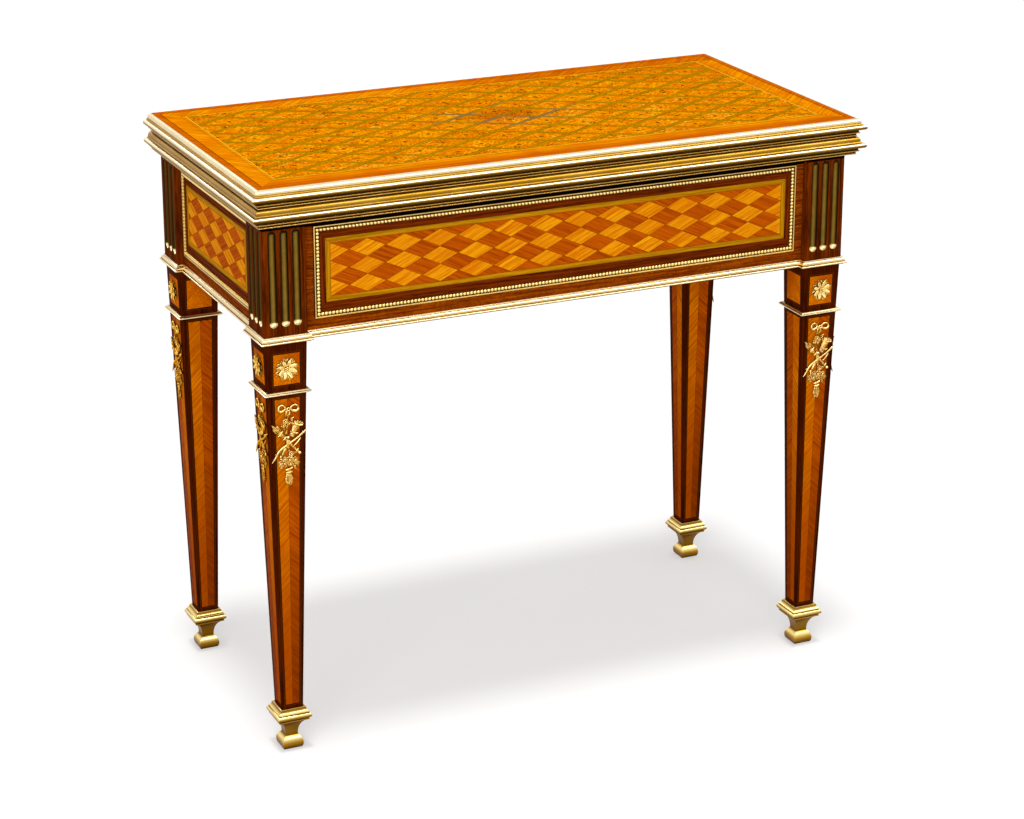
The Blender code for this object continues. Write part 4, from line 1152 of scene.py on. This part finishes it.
    # Rings and the leaf drop
    each(
        rod, bm, ([(-4.8, 91.6), (-2.0, 91.4), (2.0, 90.0), (5.0, 88.6)], (1.2, 1.5, 1.5, 1.2), 2.4, 0.8),
        ([(0.4, 89), (0.2, 92), (0.2, 95.0), (0.2, 98)], (3.4, 3.0, 3.2, 2.4), 1.2, 0.6),
        ([(-4.0, 95.4), (-1.6, 95.8), (1.6, 95.2), (4.2, 94.0)], (1.1, 1.5, 1.5, 1.2), 2.4, 0.8),
    )
    for level, spread in ((98.4, 4.4), (101.6, 5.6), (105.0, 4.8), (108.0, 3.2)):
        for side in (-1, 1):
            leaf(bm, (side * 0.6, level - 1.5), (side * spread, level + 4.4), 4.4, 1.8, 0.7, 1.0, 0.5)
        leaf(bm, (0, level - 1.0), (0.3, level + 5.4), 3.8, 2.6, 0.4, 1.0, 0.5)
    bmesh.ops.translate(bm, verts=bm.verts, vec=(0, trophy_sunk, 0))
    settle_recess(bm, trophy_relief)
    for vert in bm.verts:
        vert.co.y = min(vert.co.y, -trophy_back)
    return bm


mount_castings("trophy_", trophy_form(), 50)

# Well floor and cross rail. Quartered oak, left unpolished inside the frame, where it shows only when the top
# has turned. The floor's boards are laid side by side.
boards_per_metre = 7.2
board_joint = (0.006, 0.002)


def oak():
    material = new_material("plain_oak", 0.62, specular=0.3)
    spot = parts_of(coordinates(material))
    grain = use_group(veneer_grain, Along=spot[0], Across=spot[1] + spot[2], Sheet=3.0)
    off_joint = abs(calc("FRACT", spot[1] * boards_per_metre) - 0.5)
    wood = stained(
        blended(grain["Figure"], (142, 100, 58), (188, 146, 94)),
        (ramped(off_joint, *board_joint), (60, 38, 18)), (grain["Pores"] * 0.6, (84, 54, 26)),
    )
    return clad(material, wood, grain["Figure"] - grain["Pores"], 0.1 * mm)


inside_oak = oak()
for node in ("well_floor", "cross_rail"):
    refinish(node, inside_oak)

# Lower leaf. A mahogany board that turns on the frame, lipped on three sides with a drawn gilt-bronze
# moulding; its playing face has a crossbanded border and a fine line round the baize.
leaf_moulding_depth = 12 * mm
playing_line = 4.5 * mm
playing_line_light = (1.04 * mm, 0.8 * mm)
playing_line_dark = (0.455 * mm, 0.35 * mm)
playing_level = 754.95 * mm
playing_level_range = 0.6 * mm


def leaf_moulding_form(node, hollow_side, hollow_crown):
    """The two depths are the top hollow's recess on its side and towards its crown: above 0 a painted shade,
    below 0 a painted highlight.
    """
    low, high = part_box(node)
    left, right = low.x + leaf_moulding_depth, high.x - leaf_moulding_depth
    front = low.y + leaf_moulding_depth
    lower_bead, upper_bead = ((1.1, 1.0), (0.9, 0.85)), ((4.0, 5.5), (1.0, 0.95))
    round_bead, hollow = ((8.7, 13.5), (3.3, 3.3)), ((1.2, 19.3), (4.5, 5.55))
    # Third numbers: brown in the quirks and under each bead with patina and painted shade, and a painted
    # highlight on the round bead's crown.
    points = [
        (0.3, 0.1, 1), (0.6, 0.1, 1), *arc(*lower_bead, -100, 0, 3, (0.9, 0.1)),
        *arc(*lower_bead, 25, 75, 2, (-0.15, -0.25)), (1.1, 2.0, 1), (1.3, 3.6, 1), (2.6, 4.5, 1),
        *arc(*upper_bead, -120, 0, 4, (1, 0.1)), *arc(*upper_bead, 25, 80, 2, (-0.15, -0.25)),
        (3.6, 6.7, 1), (3.6, 8.2, 1), (4.3, 9.7, 1), (5.6, 11.0, 1),
        *arc(*round_bead, -125, -20, 6, (1, 0.8)), *arc(*round_bead, -5, 20, 2, (0.5, -0.5)),
        *arc(*round_bead, 30, 105, 5, (-1, -1)),
        (7.5, 16.72, 0.8), (7.2, 16.9, 0.8), (6.9, 17.3, 0.25), (6.3, 18.2, 0.12), (5.7, 18.7, 0.3),
        (5.5, 18.9, 0.9), (5.6, 19.2, 0.4), *arc(*hollow, 4, 24, 2, hollow_side),
        *arc(*hollow, 34, 86, 5, hollow_crown), (0.9, 24.85, hollow_crown[1]), (0.3, 24.85, hollow_crown[1]),
    ]
    path = [(left, high.y), (left, front), (right, front), (right, high.y)]
    return run_moulding(path, profiled(points, mm, low.z, mm), False)


def leaf_veneer(name, baize_node):
    """Plain mahogany outside; on the playing face a crossband runs square to each edge of the baize."""
    material = new_material(name, 0.36, specular=wood_gloss)
    spot = parts_of(coordinates(material))
    low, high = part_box(baize_node)
    middle, half = (low + high) / 2, (high - low) / 2
    across, along = spot[0] - middle.x, spot[1] - middle.y
    lines = use_group(framing, U=across, V=along, Half_U=half.x, Half_V=half.y)
    run = either(lines["At End"], across, along)
    crossband = use_group(veneer_grain, Along=lines["Outside"], Across=run, Sheet=4.0)
    plain = use_group(veneer_grain, Along=spot[0], Across=spot[1] + spot[2], Sheet=6.0)
    off_line = abs(lines["Outside"] - playing_line)
    face = stained(
        blended(crossband["Figure"], (150, 62, 6), (214, 112, 14)), (crossband["Pores"] * 0.4, (86, 30, 3)),
        (ramped(lines["Mitre"], *mitre_line) * 0.5, (60, 20, 3)),
        (ramped(off_line, *playing_line_light), (226, 178, 84)),
        (ramped(off_line, *playing_line_dark), (50, 18, 4)),
    )
    wood = stained(blended(plain["Figure"], (92, 34, 5), (150, 68, 12)), (plain["Pores"] * 0.5, (48, 16, 3)))
    playing = calc("COMPARE", spot[2], playing_level, playing_level_range)
    return clad(material, blended(playing, wood, face), crossband["Figure"] - plain["Pores"], grain_depth)


refinish("lower_leaf_board", leaf_veneer("lower_leaf_veneer", "lower_leaf_baize"))
# The lower leaf's top hollow is browned by painted shadow, where the upper leaf lies over it.
gilt_mount(
    "lower_gilt_edge", leaf_moulding_form("lower_leaf_moulding", (0.4, 0.2), (0.12, 0.1)), gilt_moulded,
    "lower_leaf_moulding", body="lower_leaf",
)

# Baize linings. Green wool cloth glued into a shallow recess in each playing face, its cut edge pressed down
# all round.
baize_edge_round = 0.4 * mm
baize_nap = 0.3 * mm
level_tolerance = 0.001 * mm


def baize_cloth():
    material = new_material("wool_baize", 0.95, specular=0.05)
    spot = coordinates(material)
    fuzz = noise(spot, 2600, 3, 0.7)
    cloud = ramped(noise(spot, 9, 3), 0.4, 0.75)
    green = blended(ramped(fuzz, 0.3, 0.7), (16, 74, 38), (40, 112, 62))
    green = stained(green, (cloud * 0.35, (66, 124, 72)))
    for label, value in (("Sheen Weight", 0.35), ("Sheen Roughness", 0.5)):
        shader_inputs(material)[label].default_value = value
    return clad(material, green, fuzz, baize_nap)


def baize_form(low, high, face_up):
    size, middle = high - low, (low + high) / 2
    back_level, face_level = (low.z, high.z) if face_up else (high.z, low.z)
    bm = bmesh.new()
    bmesh.ops.create_grid(bm, x_segments=24, y_segments=12, size=0.5)
    bmesh.ops.scale(bm, verts=bm.verts, vec=(size.x, size.y, 1))
    bmesh.ops.translate(bm, verts=bm.verts, vec=(middle.x, middle.y, back_level))
    made = bmesh.ops.extrude_face_region(bm, geom=bm.faces[:], use_keep_orig=True)["geom"]
    raised = [item for item in made if isinstance(item, bmesh.types.BMVert)]
    bmesh.ops.translate(bm, verts=raised, vec=(0, 0, face_level - back_level))
    rim = [
        edge for edge in bm.edges
        if edge.calc_face_angle(0) > 1
        and all(abs(vert.co.z - face_level) < level_tolerance for vert in edge.verts)
    ]
    rounded(bm, rim, baize_edge_round, 3)
    return bm


baize = baize_cloth()
for leaf_name, face_up in (("lower", True), ("upper", False)):
    node = f"{leaf_name}_leaf_baize"
    low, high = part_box(node)
    form = baize_form(low, high, face_up)
    lining = finished(f"{leaf_name}_lining", form, baize, f"{leaf_name}_leaf", [node], 50)

# Upper leaf. The same board and gilt lipping; its show face is laid with burr lozenges in an olive trellis,
# each with a small dark lozenge at its middle, inside a string and two crossbands.
trellis_width = 86.4 * mm
trellis_height = 49.3 * mm
trellis_half_u = 388.8 * mm
trellis_half_v = 172.6 * mm
trellis_band_half = 3.2 * mm
trellis_blur = 0.15 * mm
trellis_joint = (0.55 * mm, 0.2 * mm)
dot_edge = (3.0 * mm, 2.4 * mm)
heart_offset = 4 * mm
dark_ring = (46 * mm, 12 * mm)
grey_ring = (80 * mm, 34 * mm)
string_width = 1.9 * mm
reddish_starts = 28.2 * mm
reddish_fades_in = (8 * mm, 32 * mm)
back_fades_in = (0, 60 * mm)
# Each line's place outside the field, its half width, and its strength elsewhere and at the front
border_lines = (
    (0, 0.3 * mm, 0.3, 0.3), (string_width, 0.3 * mm, 0.3, 0.3), (6.4 * mm, 0.4 * mm, 0.4, 0.4),
    (reddish_starts, 0.5 * mm, 0.8, 0.0),
)


def burr_veneer(flat, sheet, across, along, near_heart):
    """Swirled burr with dark specks, short curls near the middle and painted glints towards the front: its
    colour and its swirl.
    """
    swirl = noise(flat, 60, 3, distortion=1.6)
    mottle = noise(flat, 170, 2, 0.7)
    specks = noise(flat, 330, 2, 0.6)
    curls = ramped(abs(noise(flat, 85, 1, distortion=2.4) - 0.5), 0.045, 0.014)
    patch = ramped(near_heart * 0.24 + noise(flat, 40, 1), 0.60, 0.63)
    painted_glints = ramped(along * -0.5 + noise(flat, 14, 1), 0.56, 0.68)
    colour = stained(
        blended(ramped(swirl, 0.38, 0.62), (236, 130, 0), (255, 168, 0)),
        (sheet_tone(sheet) * 0.5, (222, 116, 0)), (ramped(mottle, 0.5, 0.6) * 0.55, (206, 98, 0)),
        (ramped(mottle, 0.4, 0.32) * 0.6, (255, 204, 50)),
        (ramped(specks, 0.57, 0.62) * 0.85, (136, 56, 0)), (near_heart * 0.6, (206, 96, 0)),
        (curls * patch * 0.95, (64, 20, 0)), (ramped(mottle, 0.46, 0.38) * painted_glints * 0.6, (255, 206, 60)),
        (ramped(across + along, 0.34, 0.56) * 0.45, (196, 88, 0)),
    )
    return colour, swirl


def top_border(field, across, along):
    """Lays a string, a golden crossband and a reddish one round the field. At the front their grain follows
    the edge and one shades into the other; elsewhere it slants and they meet at a line."""
    lines = use_group(framing, U=across, V=along, Half_U=trellis_half_u, Half_V=trellis_half_v)
    outside = lines["Outside"]
    run = either(lines["At End"], across, along)
    slanting = [(run + outside) * diagonal_share, (run - outside) * diagonal_share]
    at_front = calc("LESS_THAN", along, 0) * (1 - lines["At End"])
    crossband = use_group(
        veneer_grain, Along=either(at_front, slanting[0], run),
        Across=either(at_front, slanting[1], outside), Sheet=8.0,
    )
    reddish = blended(crossband["Figure"], (184, 78, 0), (226, 116, 0))
    patches = ramped(noise(point(run, 0.0, 3.0), 16, 1), 0.45, 0.6)
    back_right = calc("GREATER_THAN", along, trellis_half_v + string_width) * ramped(across, *back_fades_in)
    golden = stained(
        blended(crossband["Figure"], (208, 100, 0), (255, 166, 4)), (patches * 0.6, (224, 112, 0)),
        (back_right * 0.8, reddish),
    )
    met = ramped(outside, reddish_starts - crisp, reddish_starts + crisp)
    whole = stained(
        field, (ramped(outside, -crisp, crisp), (250, 190, 40)),
        (ramped(outside, string_width - 2 * crisp, string_width), golden),
        (either(at_front, met, ramped(outside, *reddish_fades_in)), reddish),
    )
    for line, width, strength, front_strength in border_lines:
        shown = either(at_front, strength, front_strength)
        whole = stained(whole, (ramped(abs(outside - line), width * 1.8, width) * shown, (92, 38, 4)))
    mitre = ramped(lines["Mitre"], *mitre_line) * ramped(outside, 0, 2 * crisp)
    return stained(whole, (mitre * 0.5, (90, 36, 4)))


def top_veneer():
    material = new_material("trellis_parquetry", 0.30, specular=0)
    spot = parts_of(coordinates(material))
    low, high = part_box("top_parquetry")
    middle = (low + high) / 2
    across, along = spot[0] - middle.x, spot[1] - middle.y
    flat = point(across, along)
    cell = use_group(
        lozenge_layout, U=across + trellis_width / 2, V=along, Width=trellis_width, Height=trellis_height
    )
    heart = calc("SQRT", ((across - heart_offset) * 0.6) ** 2 + (along - heart_offset) ** 2)
    near_heart = ramped(heart, *dark_ring)
    burr, swirl = burr_veneer(flat, cell["Sheet"], across, along, near_heart)
    band_grain = use_group(veneer_grain, Along=cell["Along"], Across=cell["Across"], Sheet=1.0)
    greyed = ramped(heart, *grey_ring) * ramped(noise(flat, 11, 1), 0.4, 0.55)
    band = blended(band_grain["Figure"], (156, 104, 0), (200, 146, 6))
    band = stained(band, (greyed * 0.9, (132, 112, 60)))
    in_band = ramped(cell["Edge"], trellis_band_half + trellis_blur, trellis_band_half - trellis_blur)
    thin = ramped(abs(cell["Edge"] - trellis_band_half), *trellis_joint)
    dot = ramped(cell["Centre"], *dot_edge)
    field = stained(burr, (in_band, band), (thin * 0.85, (104, 56, 0)), (dot * 0.9, (100, 68, 0)))
    return clad(material, top_border(field, across, along), swirl - thin, grain_depth)


refinish("upper_leaf_board", leaf_veneer("upper_leaf_veneer", "upper_leaf_baize"))
refinish("top_parquetry", top_veneer())
# The upper leaf's top hollow carries a painted highlight.
gilt_mount(
    "upper_gilt_edge", leaf_moulding_form("upper_leaf_moulding", (-0.5, -0.7), (-0.75, -0.75)), gilt_moulded,
    "upper_leaf_moulding", body="upper_leaf",
)

# Hinges, pivot and stop. Cast brass plates let flush into the playing faces and held by countersunk brass
# screws, and a steel bolt and a brass peg that the leaves turn on and stop against.
screw_radius = 2.3 * mm
screw_depth = 0.6 * mm
screw_edge_round = 0.12 * mm
screw_proud = 0.05 * mm
screw_slot = (6 * mm, 0.55 * mm, 0.5 * mm)
screw_places = ((-17, 2), (0, -4), (17, 2))
metal_unevenness = 0.05 * mm


def plain_metal(name, dark, light, roughness):
    material = new_material(name, roughness, metallic=1)
    spot = coordinates(material)
    cloud = noise(spot, 120, 3)
    colour = blended(ramped(cloud, 0.35, 0.65), dark, light)
    return clad(material, colour, noise(spot, 900, 1), metal_unevenness, cloud * 0.25 + (roughness - 0.1))


def screw_heads(node):
    """Slotted countersunk heads along a hinge plate, their faces just proud of it."""
    low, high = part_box(node)
    middle = (low + high) / 2
    face, outward = (high.z + screw_proud, 1) if node.startswith("lower") else (low.z - screw_proud, -1)
    rise = outward * screw_depth / 2
    whole = bmesh.new()
    for number, (across, along) in enumerate(screw_places):
        head = bmesh.new()
        bmesh.ops.create_cone(
            head, cap_ends=True, segments=24, radius1=screw_radius, radius2=screw_radius, depth=screw_depth
        )
        rim = [edge for edge in head.edges if edge.calc_face_angle(0) > 1]
        rounded(head, rim, screw_edge_round, 2)
        slot = bmesh.new()
        bmesh.ops.create_cube(slot, size=1)
        bmesh.ops.scale(slot, verts=slot.verts, vec=screw_slot)
        bmesh.ops.rotate(slot, verts=slot.verts, matrix=Matrix.Rotation(0.5 + 1.9 * number, 3, "Z"))
        bmesh.ops.translate(slot, verts=slot.verts, vec=(0, 0, rise))
        head = shaped_by(head, "DIFFERENCE", [slot])
        place = (middle.x + across * mm, middle.y + along * mm, face - rise)
        bmesh.ops.translate(head, verts=head.verts, vec=place)
        gather(whole, head)
    return whole


hinge_brass = plain_metal("hinge_brass", (150, 116, 54), (196, 160, 88), 0.35)
bolt_steel = plain_metal("bolt_steel", (112, 110, 106), (158, 156, 152), 0.4)
screw_brass = plain_metal("screw_brass", (168, 128, 58), (214, 176, 100), 0.3)
for node in nodes:
    if "hinge_left" in node or "hinge_right" in node or node == "stop_peg":
        refinish(node, hinge_brass)
    elif "hinge_pin" in node or node in ("pivot_bolt", "pivot_nut"):
        refinish(node, bolt_steel)
    if node.startswith(("lower_hinge", "upper_hinge")):
        body = node.split("_")[0] + "_leaf"
        finished(f"screws_{node}", screw_heads(node), screw_brass, body)

# Floor, light and camera. A white sweep under an even sky, one high lamp that drops the shadow straight down,
# a wide soft panel in front, and two long cards that only the gilding and the polish reflect.
floor_shade = 0.68
floor_glow = 0.35
floor_half = 30
sky_strength = 0.6
photo_width = 1024
focal_length_in_pixels = 2759.29
sensor_width = 36
lens_shift = -0.08
camera_place = (-1.50976, -3.28995, 1.69672)
camera_leans_down = 18.59
camera_turns_right = 24.83
card_size = (3.0, 0.9)


def shows_background(tree):
    """1 for rays that see the backdrop: the camera's own, and those that metal or glass sends on."""
    rays = tree.nodes.new("ShaderNodeLightPath").outputs
    seen = [Signal(rays[f"Is {kind} Ray"]) for kind in ("Camera", "Transmission", "Glossy")]
    return calc("MAXIMUM", calc("MAXIMUM", *seen[:2]), seen[2])


def stage_floor():
    material = new_material("white_floor", 0.9, specular=0.0)
    inputs = shader_inputs(material)
    speck = noise(coordinates(material), 3, 2)
    feed(inputs["Base Color"], blended(speck, *((floor_shade * share,) * 3 + (1,) for share in (0.99, 1.01))))
    feed(inputs["Emission Color"], (1, 1, 1, 1))
    feed(inputs["Emission Strength"], shows_background(material.node_tree) * floor_glow)
    bm = bmesh.new()
    bmesh.ops.create_grid(bm, x_segments=4, y_segments=4, size=floor_half)
    mesh = mesh_of("floor", bm)
    mesh.materials.append(material)
    in_scene("floor", mesh)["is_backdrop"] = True


def lamp(kind, name, place, target, power):
    holder = in_scene(name, bpy.data.lights.new(name, kind))
    holder.data.energy = power
    holder.location = place
    holder.rotation_euler = (Vector(target) - Vector(place)).to_track_quat("-Z", "Y").to_euler()
    return holder


def panel(name, place, size, power, reflections_only=False):
    holder = lamp("AREA", name, place, (0, 0, 0.5), power)
    holder.data.shape = "RECTANGLE"
    holder.data.size, holder.data.size_y = size
    holder.visible_diffuse = not reflections_only


stage_floor()
high_lamp = lamp("SUN", "high_lamp", (-0.25, -0.35, 4), (0, 0, 0), 1.25)
high_lamp.data.angle = math.radians(9)
panel("front_panel", (-1.9, -3.6, 1.9), (3.6, 2.4), 70)
panel("front_card", (1.6, -2.4, 3.2), card_size, 60, True)
panel("back_card", (-1.6, 2.4, 3.2), card_size, 60, True)
world = bpy.data.worlds.new("studio")
bpy.context.scene.world = world
world.use_nodes = True
sky = world.node_tree.nodes["Background"].inputs
feed(sky["Color"], (1, 1, 1, 1))
feed(sky["Strength"], shows_background(world.node_tree) * (1 - sky_strength) + sky_strength)

camera = in_scene("camera", bpy.data.cameras.new("camera"))
camera.data.sensor_width = sensor_width
camera.data.lens = focal_length_in_pixels / photo_width * sensor_width
camera.data.shift_y = lens_shift
camera.data.clip_end = 60
camera.location = camera_place
camera.rotation_euler = (math.radians(90 - camera_leans_down), 0, math.radians(-camera_turns_right))
bpy.context.scene.camera = camera
bpy.context.scene.view_settings.view_transform = "Standard"

low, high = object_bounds()
